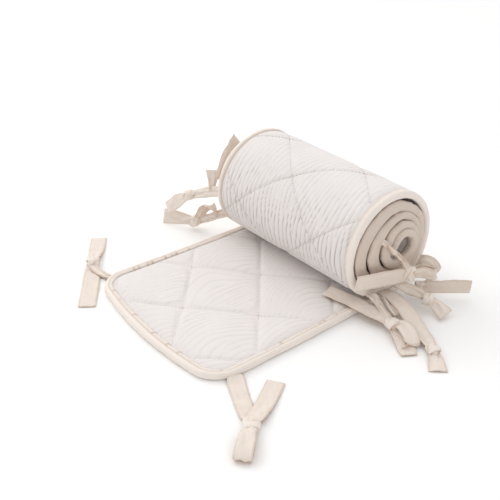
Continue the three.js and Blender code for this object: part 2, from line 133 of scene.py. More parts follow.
# Length of strip wound up at each step of angle, along the middle of its thickness
ANGLES = np.arange(0, TURNS[-1] + 1, ANGLE_STEP)
MIDDLES = winding(RADIUS, ANGLES[1:] - ANGLE_STEP / 2) - EDGE_HEIGHT
WOUND = np.concatenate([[0], np.cumsum(MIDDLES * math.radians(ANGLE_STEP))])


def length_at(turn):
    """Distance along the strip where the roll has turned by an angle in degrees."""
    return FLAT_LENGTH + np.interp(turn, ANGLES, WOUND)


STRIP_LENGTH = float(length_at(WINDING_END))
OUTER_END = float(length_at(FULL_TURN))


def smooth(value, low, high):
    """0 below low, 1 above high, and an even S between."""
    t = np.clip((value - low) / (high - low), 0, 1)
    return t * t * (3 - 2 * t)


def place(u, s, h):
    """Points in space of strip coordinates. Flat, the strip widens and turns a little
    towards its end, which bows out. Past FLAT_LENGTH it goes round circles whose radius
    and centre follow the winding table."""
    u, s, h = np.broadcast_arrays(np.asarray(u, float), s, h)
    t = 1 - s / FLAT_LENGTH
    skew = FLAT_SKEW * t
    across = u * (ROLL_WIDTH + (STRIP_WIDTH - ROLL_WIDTH) * t) / STRIP_WIDTH
    bow = END_BOW * t**4 * (1 - (2 * u / STRIP_WIDTH) ** 2)
    flat_x = FLAT_LENGTH * skew * t / 2 + across * np.cos(skew)
    flat_y = -FLAT_LENGTH * t + across * np.sin(skew) - bow
    turn = np.interp(s - FLAT_LENGTH, WOUND, ANGLES)
    radius = winding(RADIUS, turn) - h
    angle = np.radians(turn)
    roll_x = u * ROLL_WIDTH / STRIP_WIDTH + winding(OUT, turn)
    roll_y = winding(AWAY, turn) + radius * np.sin(angle)
    roll_z = ROLL_CENTRE + winding(UP, turn) - radius * np.cos(angle)
    lies = s <= FLAT_LENGTH
    x = np.where(lies, flat_x, roll_x)
    y = np.where(lies, flat_y, roll_y) + ROLL_START
    z = np.where(lies, h, roll_z)
    return np.stack([x, y, z], axis=-1)


# Meshes

WELD_DISTANCE = 1e-6


def grid_faces(rows, columns, close_rows=False, close_columns=False):
    """Four-sided faces of a grid of points numbered row by row."""
    i = np.arange(rows if close_rows else rows - 1)[:, None]
    j = np.arange(columns if close_columns else columns - 1)[None, :]
    a = i * columns + j
    b = i * columns + (j + 1) % columns
    c = (i + 1) % rows * columns + (j + 1) % columns
    d = (i + 1) % rows * columns + j
    return np.stack([a, b, c, d], axis=-1).reshape(-1, 4)


def add_mesh(name, points, faces, uv=None, shade=None):
    """A smooth-shaded object at the origin. uv is one pair for each point, and shade is
    one number for each point, its painted shade, kept as the attribute the materials read."""
    mesh = bpy.data.meshes.new(name)
    mesh.from_pydata(points.reshape(-1, 3).tolist(), [], [list(map(int, f)) for f in faces])
    corner = np.empty(len(mesh.loops), dtype=np.int32)
    mesh.loops.foreach_get("vertex_index", corner)
    if uv is not None:
        layer = mesh.uv_layers.new(name="cloth")
        layer.data.foreach_set("uv", uv.reshape(-1, 2)[corner].astype(np.float32).ravel())
    if shade is not None:
        tone = mesh.attributes.new("painted_shade", "FLOAT", "POINT")
        tone.data.foreach_set("value", np.asarray(shade, np.float32).ravel())
    mesh.polygons.foreach_set("use_smooth", np.ones(len(mesh.polygons), dtype=bool))
    mesh.update()
    piece = bpy.data.objects.new(name, mesh)
    bpy.context.collection.objects.link(piece)
    return piece


def weld(piece):
    """Merges points that coincide and turns every face outwards."""
    work = bmesh.new()
    work.from_mesh(piece.data)
    bmesh.ops.remove_doubles(work, verts=work.verts, dist=WELD_DISTANCE)
    bmesh.ops.recalc_face_normals(work, faces=work.faces)
    work.to_mesh(piece.data)
    work.free()
    piece.data.update()


# Materials

# Uneven tone of the cloth, then its drawn relief: the weave's share and the full height
CLOUD_SCALE = 22.0
CLOUD_TONE = 0.18
WEAVE_SHARE = 0.25
RELIEF = 0.0006

# Stitches of a ribbon's hem: how far in they lie, half their width, their pitch and length
HEM_INSET = 0.0016
HEM_THREAD = 0.00035
HEM_PITCH = 0.0028
HEM_DASH = 0.65 * HEM_PITCH
HEM_TONE = 0.7


def linear(code):
    """Linear colour of an sRGB hex value."""
    levels = [((code >> shift) & 255) / 255 for shift in (16, 8, 0)]
    return [v / 12.92 if v <= 0.04045 else ((v + 0.055) / 1.055) ** 2.4 for v in levels] + [1]


def add_node(tree, kind, inputs=None, **settings):
    """Adds one node. settings are its properties, and inputs hold, by name or number,
    each input's value or the socket that feeds it."""
    node = tree.nodes.new(kind)
    for key, value in settings.items():
        setattr(node, key, value)
    for key, value in (inputs or {}).items():
        if isinstance(value, bpy.types.NodeSocket):
            tree.links.new(value, node.inputs[key])
        else:
            node.inputs[key].default_value = value
    return node


def new_material(name):
    """An empty node material and its Principled shader."""
    material = bpy.data.materials.new(name)
    material.use_nodes = True
    tree = material.node_tree
    return material, tree, tree.nodes["Principled BSDF"]


def hem_stitches(tree, uv):
    """1 on the dashes of a stitched line near both edges of a ribbon, else 0."""
    parts = add_node(tree, "ShaderNodeSeparateXYZ", {0: uv}).outputs
    side = add_node(tree, "ShaderNodeMath", {0: parts["X"]}, operation="ABSOLUTE").outputs[0]
    line = {0: side, 1: TIE_WIDTH / 2 - HEM_INSET, 2: HEM_THREAD}
    near = add_node(tree, "ShaderNodeMath", line, operation="COMPARE").outputs[0]
    step = {0: parts["Y"], 1: HEM_PITCH}
    along = add_node(tree, "ShaderNodeMath", step, operation="MODULO").outputs[0]
    part = {0: along, 1: HEM_DASH}
    dash = add_node(tree, "ShaderNodeMath", part, operation="LESS_THAN").outputs[0]
    return add_node(tree, "ShaderNodeMath", {0: near, 1: dash}, operation="MULTIPLY").outputs[0]


def cloth_material(name, ridge, painted_shade, thread, slub, roughness, sheen, bump, hem=False):
    """Woven cotton. The colour goes from ridge to painted_shade by the piece's own painted
    shade attribute plus a slow uneven tone. The relief is the larger of two sets of waves
    at right angles, thread metres apart, plus noise as wide and as long as slub, both on the
    piece's own UV map. hem adds a line of stitches near a ribbon's edges."""
    material, tree, shader = new_material(name)
    uv = add_node(tree, "ShaderNodeUVMap", uv_map="cloth").outputs["UV"]
    painted_shade_amount = add_node(tree, "ShaderNodeAttribute", attribute_name="painted_shade").outputs["Fac"]
    cloud = add_node(
        tree, "ShaderNodeTexNoise", {"Vector": uv, "Scale": CLOUD_SCALE, "Detail": 3.0}
    )
    # The mix's factor: the painted shade attribute plus the slow uneven tone
    uneven = {0: cloud.outputs["Fac"], 1: CLOUD_TONE, 2: painted_shade_amount}
    tone = add_node(tree, "ShaderNodeMath", uneven, operation="MULTIPLY_ADD").outputs[0]
    if hem:
        sewn = {0: hem_stitches(tree, uv), 1: HEM_TONE, 2: tone}
        tone = add_node(tree, "ShaderNodeMath", sewn, operation="MULTIPLY_ADD").outputs[0]
    between = {"Factor": tone, "A": ridge, "B": painted_shade}
    colour = add_node(tree, "ShaderNodeMix", between, data_type="RGBA")
    tree.links.new(colour.outputs["Result"], shader.inputs["Base Color"])

    heights = []
    for turned in (0, math.pi / 2):
        rotation = {"Vector": uv, "Rotation": (0, 0, turned)}
        across = add_node(tree, "ShaderNodeMapping", rotation).outputs["Vector"]
        waves = {
            "Vector": across,
            "Scale": math.pi / (10 * thread),
            "Distortion": 1.5,
            "Detail": 1.0,
        }
        threads = add_node(
            tree, "ShaderNodeTexWave", waves, wave_type="BANDS", bands_direction="X"
        )
        heights.append(threads.outputs["Fac"])
    sets = {0: heights[0], 1: heights[1]}
    weave = add_node(tree, "ShaderNodeMath", sets, operation="MAXIMUM").outputs[0]
    stretch = {"Vector": uv, "Scale": (1 / slub[0], 1 / slub[1], 1)}
    stretched = add_node(tree, "ShaderNodeMapping", stretch).outputs["Vector"]
    noise = {"Vector": stretched, "Scale": 1.0, "Detail": 4.0}
    slubs = add_node(tree, "ShaderNodeTexNoise", noise).outputs["Fac"]
    both = {0: weave, 1: WEAVE_SHARE, 2: slubs}
    relief = add_node(tree, "ShaderNodeMath", both, operation="MULTIPLY_ADD").outputs[0]
    raised = add_node(
        tree, "ShaderNodeBump", {"Height": relief, "Strength": bump, "Distance": RELIEF}
    )
    tree.links.new(raised.outputs["Normal"], shader.inputs["Normal"])
    shader.inputs["Roughness"].default_value = roughness
    shader.inputs["Specular IOR Level"].default_value = 0.25
    shader.inputs["Sheen Weight"].default_value = sheen
    shader.inputs["Sheen Roughness"].default_value = 0.5
    return material


# Muslin panel

# The panel's edge under the binding, its puffed diamonds and where its faces change
EDGE_INSET = 0.004
WEDGE_END = 0.0125
WEDGE_HALF = 0.0033
EDGE_RISE = 0.007
PUFF_STEEPNESS = 9
PUFF_CROWN = 0.45
OUTER_SEAM_FADE = 0.060
INNER_TURN_FADE = 40

# The panel's grid: columns and rows are close together on the face that shows
FINE_COLUMNS = 192
COARSE_COLUMNS = 24
FINE_ROW = 0.0025
COARSE_ROW = 0.008
FACE_CHANGE = 0.018
SEED = 11

# Crinkles: how many waves add up, how much their pitch and (in radians) their heading
# differ, how they bow inside a diamond, the share of their height on the roll and at the
# seams, and the least share of its height that the face on the floor keeps
WAVES = 26
PITCH_RANGE = (0.82, 1.22)
FLAT_SPREAD = 0.10
ROLL_SPREAD = 0.07
FLAT_BOW = -0.034
ROLL_BOW = 0.008
LOOSE_BOW = 0.35
BEND_LENGTH = 0.16
PATCH_LENGTH = 0.07
PATCHINESS = 0.2
PATCH_RANGE = (0.3, 1.2)
RIDGE_POWER = 0.7
RIDGE_GAIN = 1.6
ROLL_SHARE = 0.68
LOW_FRONT_SHARE = 1.5
LOW_FRONT_START = float(length_at(190))
LOW_FRONT_END = float(length_at(280))
SEAM_HOLD = 0.3
FLAT_LEAST = 0.7

# Painted shade of the panel, from 0 to 1: at the stitched lines, less on the lines of one
# direction, near the bound edge, in the crinkles' valleys, more on the roll's low front,
# and on the inner turns
SEAM_SHADE = 0.05
ROLL_SEAM_SHADE = 0.45
CROSS_SEAM_SHADE_FADE = 0.7
CROSS_SEAM_WIDTH = 0.15
RIM_SHADE = 0.15
VALLEY_SHADE = 0.5
LOW_VALLEY_SHADE = 0.6
INSIDE_SHADE = 0.4


def inset(u, s):
    """Distance in from the strip's outline, a rectangle with round corners."""
    qu = np.abs(u) - (STRIP_WIDTH / 2 - CORNER_RADIUS)
    qs = np.abs(s - STRIP_LENGTH / 2) - (STRIP_LENGTH / 2 - CORNER_RADIUS)
    outside = np.hypot(np.maximum(qu, 0), np.maximum(qs, 0))
    return CORNER_RADIUS - outside - np.minimum(np.maximum(qu, qs), 0)


def line_number(u, s, direction):
    """How many stitched lines of one direction (+1 or -1) lie before a point: a whole
    number on a line, counted from the one through the first crossing."""
    return (s - FIRST_CROSSING) / DIAMOND_LENGTH + direction * (
        (u - CROSSING_SHIFT) / DIAMOND_WIDTH
    )


def puff(u, s):
    """0 on a stitched line and 1 in a diamond's middle: the product of two sines across
    the two directions of lines, steepened near them."""
    a = np.abs(np.sin(math.pi * line_number(u, s, 1)))
    b = np.abs(np.sin(math.pi * line_number(u, s, -1)))
    shoulder = np.sqrt(np.minimum(PUFF_STEEPNESS * a * b, 1))
    return shoulder * (1 - PUFF_CROWN + PUFF_CROWN * np.sqrt(a * b))


def slow_waves(u, s, rng, length, count=9):
    """Even noise of about -1 to 1: a sum of cosine waves of random heading, whose
    length is about the one given."""
    total = np.zeros(np.broadcast(u, s).shape)
    for _ in range(count):
        heading = rng.uniform(0, math.pi)
        step = 2 * math.pi / (length * rng.uniform(0.7, 1.5))
        phase = rng.uniform(0, 2 * math.pi)
        total += np.cos(step * (u * math.cos(heading) + s * math.sin(heading)) + phase)
    return total / math.sqrt(count)


def crinkle(u, s, pitch, bow, spread):
    """Height from -1 to 1 of the muslin's crinkle. Waves across the strip, whose pitch
    and heading differ a little, add up to a narrow band of noise. Its phase gives wide
    ridges with narrow creases, 2 |cos(phase / 2)|^0.7 - 1, that run along the strip and
    fork, and its strength fades them. They bow inside each diamond."""
    rng = np.random.default_rng(SEED)
    p = line_number(u, s, 1) % 1 - 0.5
    q = line_number(u, s, -1) % 1 - 0.5
    bent = u + bow * (p + q) ** 2 + LOOSE_BOW * bow * slow_waves(u, s, rng, BEND_LENGTH)
    even, odd = np.zeros(u.shape), np.zeros(u.shape)
    for _ in range(WAVES):
        step = 2 * math.pi / (pitch * rng.uniform(*PITCH_RANGE))
        heading = rng.normal(0, spread)
        phase = rng.uniform(0, 2 * math.pi)
        wave = step * (bent * math.cos(heading) + s * math.sin(heading)) + phase
        even += np.cos(wave)
        odd += np.sin(wave)
    strength = np.tanh(RIDGE_GAIN * np.hypot(even, odd) / math.sqrt(WAVES))
    ridge = 2 * np.abs(np.cos(np.arctan2(odd, even) / 2)) ** RIDGE_POWER - 1
    patches = 1 + PATCHINESS * (slow_waves(u, s, rng, PATCH_LENGTH) - 1)
    return ridge * strength * np.clip(patches, *PATCH_RANGE)


def panel_heights(u, s, style):
    """Heights of the two faces above the outer one, and each point's painted shade: darker
    at the stitched lines, near the bound edge, in the crinkles' valleys and on the inner
    turns. Each face is the panel's filled thickness, drawn in at the stitched lines and at
    the bound edge, with the crinkle added."""
    full = puff(u, s)
    wound = smooth(s, FLAT_LENGTH, FLAT_LENGTH + OUTER_SEAM_FADE)
    inside = smooth(s, OUTER_END, float(length_at(FULL_TURN + INNER_TURN_FADE)))
    depth_in = inset(u, s)
    edge = WEDGE_HALF * np.clip((depth_in - EDGE_INSET) / (WEDGE_END - EDGE_INSET), 0, 1)
    rise = 1 - np.exp(-np.maximum(depth_in - WEDGE_END, 0) / EDGE_RISE)
    flat_ridges = crinkle(u, s, style.flat_pitch, FLAT_BOW, FLAT_SPREAD) * style.flat_depth
    low_front = smooth(s, LOW_FRONT_START, LOW_FRONT_END)
    roll_ridges = crinkle(u, s, style.roll_pitch, ROLL_BOW, ROLL_SPREAD) * style.roll_depth
    roll_ridges = roll_ridges * (ROLL_SHARE + LOW_FRONT_SHARE * low_front)
    ridges = flat_ridges * (1 - wound) + roll_ridges * wound
    held = (SEAM_HOLD + (1 - SEAM_HOLD) * np.sqrt(full)) * rise
    inner_full = SEAM_THICKNESS + (PUFF_THICKNESS - SEAM_THICKNESS) * full
    inner_full = inner_full + (INNER_THICKNESS - inner_full) * inside
    inner = EDGE_HEIGHT + edge + (inner_full - EDGE_HEIGHT - WEDGE_HALF) * rise
    inner = inner + ridges * held * (1 - inside)
    outer_full = OUTER_SEAM_DEPTH * (1 - full) * wound * (1 - inside)
    outer = EDGE_HEIGHT - edge - (EDGE_HEIGHT - WEDGE_HALF - outer_full) * rise
    least = FLAT_LEAST * outer * (1 - wound)
    outer = np.maximum(outer - ridges * held * wound * (1 - inside), least)
    deepest = style.flat_depth * (1 - wound) + style.roll_depth * wound + 1e-9
    # Painted shade: at the seams and the bound edge, in the crinkles' valleys and on the inner
    # turns
    valley = np.clip(-ridges / deepest, 0, 1) * (1 - inside)
    cross = np.exp(-np.abs(np.sin(math.pi * line_number(u, s, -1))) / CROSS_SEAM_WIDTH)
    seam_shade = (SEAM_SHADE + ROLL_SEAM_SHADE * wound) * (1 - CROSS_SEAM_SHADE_FADE * cross)
    seam_shade = seam_shade * (1 - full) ** 4 + RIM_SHADE * (1 - rise)
    shade = seam_shade + (VALLEY_SHADE + LOW_VALLEY_SHADE * low_front) * valley + INSIDE_SHADE * inside
    return outer, inner, np.clip(shade, 0, 1)


def panel_rows():
    """Places of the panel's rows along the strip, close together where a face shows."""
    start, end = EDGE_INSET, STRIP_LENGTH - EDGE_INSET
    shown_end = OUTER_END + FACE_CHANGE
    fine = np.linspace(start, shown_end, int((shown_end - start) / FINE_ROW) + 1)
    coarse = np.linspace(shown_end, end, int((end - shown_end) / COARSE_ROW) + 1)
    return np.concatenate([fine, coarse[1:]])


def half_width(s):
    """Half the panel's width, out to its pressed edge."""
    radius = CORNER_RADIUS - EDGE_INSET
    into = np.maximum(CORNER_RADIUS - np.minimum(s, STRIP_LENGTH - s), 0)
    return STRIP_WIDTH / 2 - CORNER_RADIUS + np.sqrt(np.maximum(radius**2 - into**2, 0))


def face_grid(rows, fine):
    """Points and faces of one face of the panel. Rows marked fine have many columns and
    the others few, and a fan of triangles joins a fine row to a coarse one."""
    counts = np.where(fine, FINE_COLUMNS, COARSE_COLUMNS) + 1
    starts = np.concatenate([[0], np.cumsum(counts)])
    u = np.concatenate([np.linspace(-1, 1, n) * w for n, w in zip(counts, half_width(rows))])
    s = np.repeat(rows, counts)
    faces = []
    for i in range(len(rows) - 1):
        a, b = starts[i], starts[i + 1]
        if counts[i] == counts[i + 1]:
            j = np.arange(counts[i] - 1)
            faces += np.stack([a + j, a + j + 1, b + j + 1, b + j], axis=-1).tolist()
            continue
        many, few, turned = (a, b, False) if fine[i] else (b, a, True)
        ratio = FINE_COLUMNS // COARSE_COLUMNS
        j = np.arange(FINE_COLUMNS)
        nearest = (j + ratio // 2) // ratio
        fan = np.stack([many + j, many + j + 1, few + nearest], axis=-1)
        k = np.arange(COARSE_COLUMNS)
        middle = many + k * ratio + ratio // 2
        base = np.stack([few + k, middle, few + k + 1], axis=-1)
        joined = np.concatenate([fan, base])
        faces += (joined[:, ::-1] if turned else joined).tolist()
    return u, s, faces


def make_panel(style):
    """The quilted panel: its inner face is fine on the flat stretch and its outer face
    on the roll, where each shows, and the two meet at the pressed edge."""
    rows = panel_rows()
    points, faces, uv, shade = [], [], [], []
    count = 0
    on_flat = rows < FLAT_LENGTH + FACE_CHANGE
    on_roll = (rows > FLAT_LENGTH - FACE_CHANGE) & (rows < OUTER_END + FACE_CHANGE)
    for is_inner, fine in ((True, on_flat), (False, on_roll)):
        u, s, own = face_grid(rows, fine)
        # deep is the painted shade of each point
        outer, inner, deep = panel_heights(u, s, style)
        points.append(place(u, s, inner if is_inner else outer))
        faces += [[count + k for k in (f if is_inner else f[::-1])] for f in own]
        uv.append(np.stack([u, s], axis=-1))
        shade.append(deep)
        count += len(u)
    piece = add_mesh(
        "muslin_panel", np.concatenate(points), faces, np.concatenate(uv), np.concatenate(shade)
    )
    weld(piece)
    return piece


# Quilting thread

# Stitches are spindles: their rings' widths, and how far they sink and stand proud, are
# shares of their radius
STITCH_PITCH = 0.0054
STITCH_LENGTH = 0.0036
STITCH_RADIUS = 0.00048
STITCH_SIDES = 5
STITCH_RINGS = (0.25, 1.0, 1.25, 1.0, 0.25)
STITCH_SUNK = 0.2
STITCH_PROUD = 1.2
SEAM_MARGIN = 0.016
SEAM_COUNTS = range(-3, 9)
THREAD_STOP = OUTER_END - 0.004
SEAM_SLOPE = DIAMOND_LENGTH / DIAMOND_WIDTH


def seam_points():
    """Where each stitch lies and which way it runs, in strip coordinates: even steps
    along both directions of lines, kept where they are inside the bound edge."""
    half = STRIP_WIDTH / 2
    steps = np.arange(-half, half, STITCH_PITCH / math.hypot(1, SEAM_SLOPE))
    lines = FIRST_CROSSING + np.array(SEAM_COUNTS) * DIAMOND_LENGTH
    start, u = np.meshgrid(lines, steps, indexing="ij")
    found = []
    for way in (1, -1):
        s = start - way * (u - CROSSING_SHIFT) * SEAM_SLOPE
        keep = (inset(u, s) > SEAM_MARGIN) & (s < THREAD_STOP) & (s > 0)
        found.append(np.stack([u[keep], s[keep], np.full(keep.sum(), way)], axis=-1))
    return np.concatenate(found)


def make_stitches(style):
    """Short raised threads along the quilting lines, each a slim spindle on the face
    that shows: the inner one on the flat stretch and the outer one on the roll."""
    u, s, way = seam_points().T
    lies = s < FLAT_LENGTH

    def on_face(across, along, above):
        """Points a height above the face that shows."""
        outer, inner, _ = panel_heights(across, along, style)
        h = np.where(lies, inner + above, outer - above)
        return place(across, along, h)

    half_u = STITCH_LENGTH / 2 / math.hypot(1, SEAM_SLOPE)
    half_s = half_u * SEAM_SLOPE
    front = on_face(u - way * half_u, s + half_s, STITCH_SUNK * STITCH_RADIUS)
    back = on_face(u + way * half_u, s - half_s, STITCH_SUNK * STITCH_RADIUS)
    lifted = on_face(u, s, STITCH_PROUD * STITCH_RADIUS)
    along = front - back
    along /= np.linalg.norm(along, axis=-1, keepdims=True)
    up = lifted - on_face(u, s, 0.0)
    side = np.cross(along, up)
    side /= np.linalg.norm(side, axis=-1, keepdims=True)
    up = np.cross(side, along)
    t = np.linspace(0, 1, len(STITCH_RINGS))[:, None]
    angle = np.arange(STITCH_SIDES) * 2 * math.pi / STITCH_SIDES
    centre = back[:, None] * (1 - t) + front[:, None] * t
    centre = centre + (lifted - (front + back) / 2)[:, None] * (4 * t * (1 - t))
    width = STITCH_RADIUS * np.array(STITCH_RINGS)[None, :, None, None]
    turn_side = side[:, None, None] * np.cos(angle)[None, None, :, None]
    turn_up = up[:, None, None] * np.sin(angle)[None, None, :, None]
    points = centre[:, :, None] + width * (turn_side + turn_up)
    points[..., 2] = np.maximum(points[..., 2], LEAST_HEIGHT)
    own = grid_faces(len(STITCH_RINGS), STITCH_SIDES, close_columns=True)
    size = len(STITCH_RINGS) * STITCH_SIDES
    firsts = (np.arange(len(u)) * size)[:, None, None]
    quads = (firsts + own[None]).reshape(-1, 4).tolist()
    ends = np.arange(STITCH_SIDES)
    caps = (firsts[:, 0] + ends[::-1][None]).tolist()
    caps += (firsts[:, 0] + (size - STITCH_SIDES + ends)[None]).tolist()
    return add_mesh("quilting_thread", points.reshape(-1, 3), quads + caps)


# Binding

# Its C-shaped section, and how finely it is drawn
BINDING_HALF_WIDTH = 0.0066
BINDING_HALF_HEIGHT = 0.0060
BINDING_MIDDLE = 0.0061
BINDING_CLOTH = 0.0012
BINDING_WRAP = math.radians(152)
BINDING_ROUNDNESS = 0.85
BINDING_STEP = 0.004
BINDING_POINTS = 25

# Its fold line, as a share of the way round, then its wrinkles, swells and puckers
FOLD_PLACE = 0.60
FOLD_WIDTH = 0.06
FOLD_DEPTH = 0.0007
WRINKLE = 0.0002
INNER_WRINKLE = 1.5
WRINKLE_REACH = 0.006
WRINKLE_LENGTH = 0.016
SWELL_LENGTH = 0.07
SWELL_WIDTH = 0.00025
SWELL_HEIGHT = 0.0002
PUCKER_PITCH = 0.0075
PUCKER_HEIGHT = 0.00015

# The inner turns: how full their edges are, where they slacken, and how they wander
TURN_STACK = 0.013
MOST_PLUMP = 0.009
SLACK_TURN = 485
SLACK_SPREAD = 42
SLACK_SHARE = 0.7
INNER_SLIDE = 0.0011
INNER_SLIDE_LENGTH = 0.08
INNER_SWAY = 0.0004
INNER_SWAY_LENGTH = 0.05

# Painted shade, from 0 to 1: all over the inner turns, in the fold line and at the tucked
# edges, where it starts and how far it spreads, with painted shadow spots at the puckers
# on the flat stretch
INNER_TURN_SHADE = 0.62
FOLD_SHADE = 0.6
TUCK_START = 0.52
TUCK_SPAN = 0.3
FLAT_TUCK_SHADE = 0.1
ROLL_TUCK_SHADE = 0.6
PUCKER_SHADOW_START = 0.7


def reach_of_turn(turn):
    """How far the outer face reaches from the roll's centre, in its own direction."""
    angle = np.radians(turn)
    drift = winding(AWAY, turn) * np.sin(angle) - winding(UP, turn) * np.cos(angle)
    return winding(RADIUS, turn) + drift


def outline(step):
    """The strip's rim at even steps: its u and s, its outward direction in each, and the
    length gone round. Four straight sides are joined by four quarter circles."""
    half, edge = STRIP_WIDTH / 2 - CORNER_RADIUS, STRIP_WIDTH / 2
    low, high = CORNER_RADIUS, STRIP_LENGTH - CORNER_RADIUS
    sides = (
        ((-half, 0), (half, 0), (half, low), -90),
        ((edge, low), (edge, high), (half, high), 0),
        ((half, STRIP_LENGTH), (-half, STRIP_LENGTH), (-half, high), 90),
        ((-edge, high), (-edge, low), (-half, low), 180),
    )
    points = []
    for begin, end, centre, start in sides:
        count = int(math.dist(begin, end) / step)
        share = (np.arange(count) / count)[:, None]
        points.append(np.array(begin) * (1 - share) + np.array(end) * share)
        count = int(CORNER_RADIUS * math.pi / 2 / step)
        angle = np.radians(start + 90 * np.arange(count) / count)
        around = np.stack([np.cos(angle), np.sin(angle)], axis=-1)
        points.append(np.array(centre) + CORNER_RADIUS * around)
    u, s = np.concatenate(points).T
    out_u = u - np.clip(u, -half, half)
    out_s = s - np.clip(s, low, high)
    reach = np.hypot(out_u, out_s)
    gone = np.concatenate([[0], np.cumsum(np.hypot(np.diff(u), np.diff(s)))])
    return u, s, out_u / reach, out_s / reach, gone


def make_binding(style):
    """The folded sateen strip: a C-shaped section, round at the rim and tucked in at both
    seams, carried round the outline. Its fullness wavers and its seam edges pucker."""
    u, s, out_u, out_s, gone = outline(BINDING_STEP)
    rng = np.random.default_rng(SEED + 1)
    slow = slow_waves(gone, 0, rng, SWELL_LENGTH)[:, None]
    pucker = slow_waves(gone, 0, rng, PUCKER_PITCH, 7)[:, None]
    turn = np.interp(s - FLAT_LENGTH, WOUND, ANGLES)
    inside = smooth(turn, FULL_TURN, FULL_TURN + INNER_TURN_FADE)[:, None]
    free = reach_of_turn(turn - FULL_TURN) - reach_of_turn(turn) - TURN_STACK
    slack = SLACK_SHARE * np.exp(-(((turn - SLACK_TURN) / SLACK_SPREAD) ** 2))
    plump = (np.clip(free, 0, MOST_PLUMP) * (1 - slack))[:, None] * inside
    swing = np.linspace(-BINDING_WRAP, BINDING_WRAP, BINDING_POINTS)
    loops = []
    crease_rng = np.random.default_rng(SEED + 2)
    for layer, order in ((0.0, 1), (BINDING_CLOTH, -1)):
        angle = swing[::order][None, :]
        tuck = (np.abs(angle) / BINDING_WRAP) ** 3
        wide = BINDING_HALF_WIDTH - layer + SWELL_WIDTH * slow
        tall = BINDING_HALF_HEIGHT - layer + (SWELL_HEIGHT * slow + PUCKER_HEIGHT * pucker)
        fold = np.exp(-(((angle / BINDING_WRAP - FOLD_PLACE) / FOLD_WIDTH) ** 2))
        across = WRINKLE_REACH * angle
        wrinkle = slow_waves(gone[:, None], across, crease_rng, WRINKLE_LENGTH, 7)
        deep = WRINKLE * (1 + INNER_WRINKLE * inside)
        tall = tall - FOLD_DEPTH * fold + (deep * wrinkle if order == 1 else 0)
        c, n = np.cos(angle), np.sin(angle)
        reach = np.sign(c) * np.abs(c) ** BINDING_ROUNDNESS
        level = np.sign(n) * np.abs(n) ** BINDING_ROUNDNESS
        into = BINDING_HALF_WIDTH - wide * reach + style.pucker * tuck * pucker
        height = BINDING_MIDDLE + (tall + plump * (level < 0)) * level
        loops.append((into, height))
    into = np.concatenate([loops[0][0], loops[1][0]], axis=1)
    height = np.concatenate([loops[0][1], loops[1][1]], axis=1)
    slide = slow_waves(gone, 0, rng, INNER_SLIDE_LENGTH, 5)[:, None]
    sway = slow_waves(gone, 0, rng, INNER_SWAY_LENGTH, 5)[:, None]
    into = into + inside * INNER_SLIDE * slide
    height = height + inside * INNER_SWAY * sway
    lies = (s <= FLAT_LENGTH)[:, None]
    height = np.where(lies, np.maximum(height, LEAST_HEIGHT), height)
    across = u[:, None] - out_u[:, None] * into
    along = s[:, None] - out_s[:, None] * into
    points = place(across, along, height)
    points[..., 2] = np.maximum(points[..., 2], LEAST_HEIGHT)
    columns = 2 * BINDING_POINTS
    faces = grid_faces(len(u), columns, close_rows=True, close_columns=True)
    lengthwise = np.broadcast_to(gone[:, None], into.shape)
    around = np.broadcast_to(np.concatenate([swing, swing[::-1]]), into.shape)
    uv = np.stack([around * BINDING_HALF_WIDTH, lengthwise], axis=-1)
    # Painted shade: in the fold line, at the tucked seam edges, in spots at the puckers on the
    # flat stretch, and on the inner turns
    share = around / BINDING_WRAP
    fold = np.exp(-(((share - FOLD_PLACE) / FOLD_WIDTH) ** 2))
    pucker_shadow = np.clip(2 * (pucker - PUCKER_SHADOW_START), 0, 1)
    tuck_shade = np.clip((np.abs(share) - TUCK_START) / TUCK_SPAN, 0, 1)
    tuck_shade = tuck_shade * np.where(lies, FLAT_TUCK_SHADE + pucker_shadow, ROLL_TUCK_SHADE)
    shade = np.clip(FOLD_SHADE * fold * (1 - inside) + tuck_shade + INNER_TURN_SHADE * inside, 0, 1)
    piece = add_mesh("sateen_binding", points, faces, uv, shade)
    weld(piece)
    perimeter = float(gone[-1] + BINDING_STEP)
    return piece, perimeter


# Ties

TIE_WIDTH = 0.025
TIE_CLOTH = 0.0016
TIE_POINTS = 13
TIE_STEP = 0.0025

# Where a ribbon is gathered: its pleats, thin edges, waver and small wrinkles
PLEATS = 1.6
PLEAT_DEPTH = 0.0012
PLEAT_DRIFT = 0.8
DRIFT_LENGTH = 0.05
EDGE_THINNING = 0.55
GATHER_THICKENING = 0.5
WAVER = 0.0006
WAVER_LENGTH = 0.03
WRINKLE_SPAN = 0.02
SMALL_WRINKLE = 0.00032
GATHER_WRINKLE = 0.0005
SMALL_LENGTH = 0.011

# Painted shade of a ribbon, from 0 to 1: a small even amount, more in its pleats and its
# gathered small wrinkles, and on the side that faces down
RIBBON_SHADE = 0.1
PLEAT_SHADE = 0.4
SMALL_WRINKLE_SHADE = 0.25
UNDERSIDE_SHADE = 0.8

# How far a tie starts inside the rim, and how far it stays above the floor
ROOT_TUCK = 0.003
FLOOR_GAP = 0.0003

# A knot's wraps: how far each is turned in degrees, its lean and its size. Each takes up
# the same length of ribbon
KNOT_WRAPS = ((0, 0.35, 1.0), (60, -0.3, 0.94))
KNOT_TAKES = 0.02
KNOT_RINGS = 36
KNOT_SIDES = 28
KNOT_PLEAT = 0.07
KNOT_FINE_FOLDS = 5
KNOT_BROAD_FOLDS = 3
KNOT_FINE_SHARE = 0.6
KNOT_UNEVEN = 0.12
KNOT_LENGTH = 0.62
KNOT_BULK = 0.42
# Painted shade of a knot's wraps, from 0 to 1: a base amount, more on the inner side of each
# wrap's section and in its folds, up to a most
KNOT_SHADE = 0.25
KNOT_FOLD_SHADE = 0.3
KNOT_MOST_SHADE = 0.8

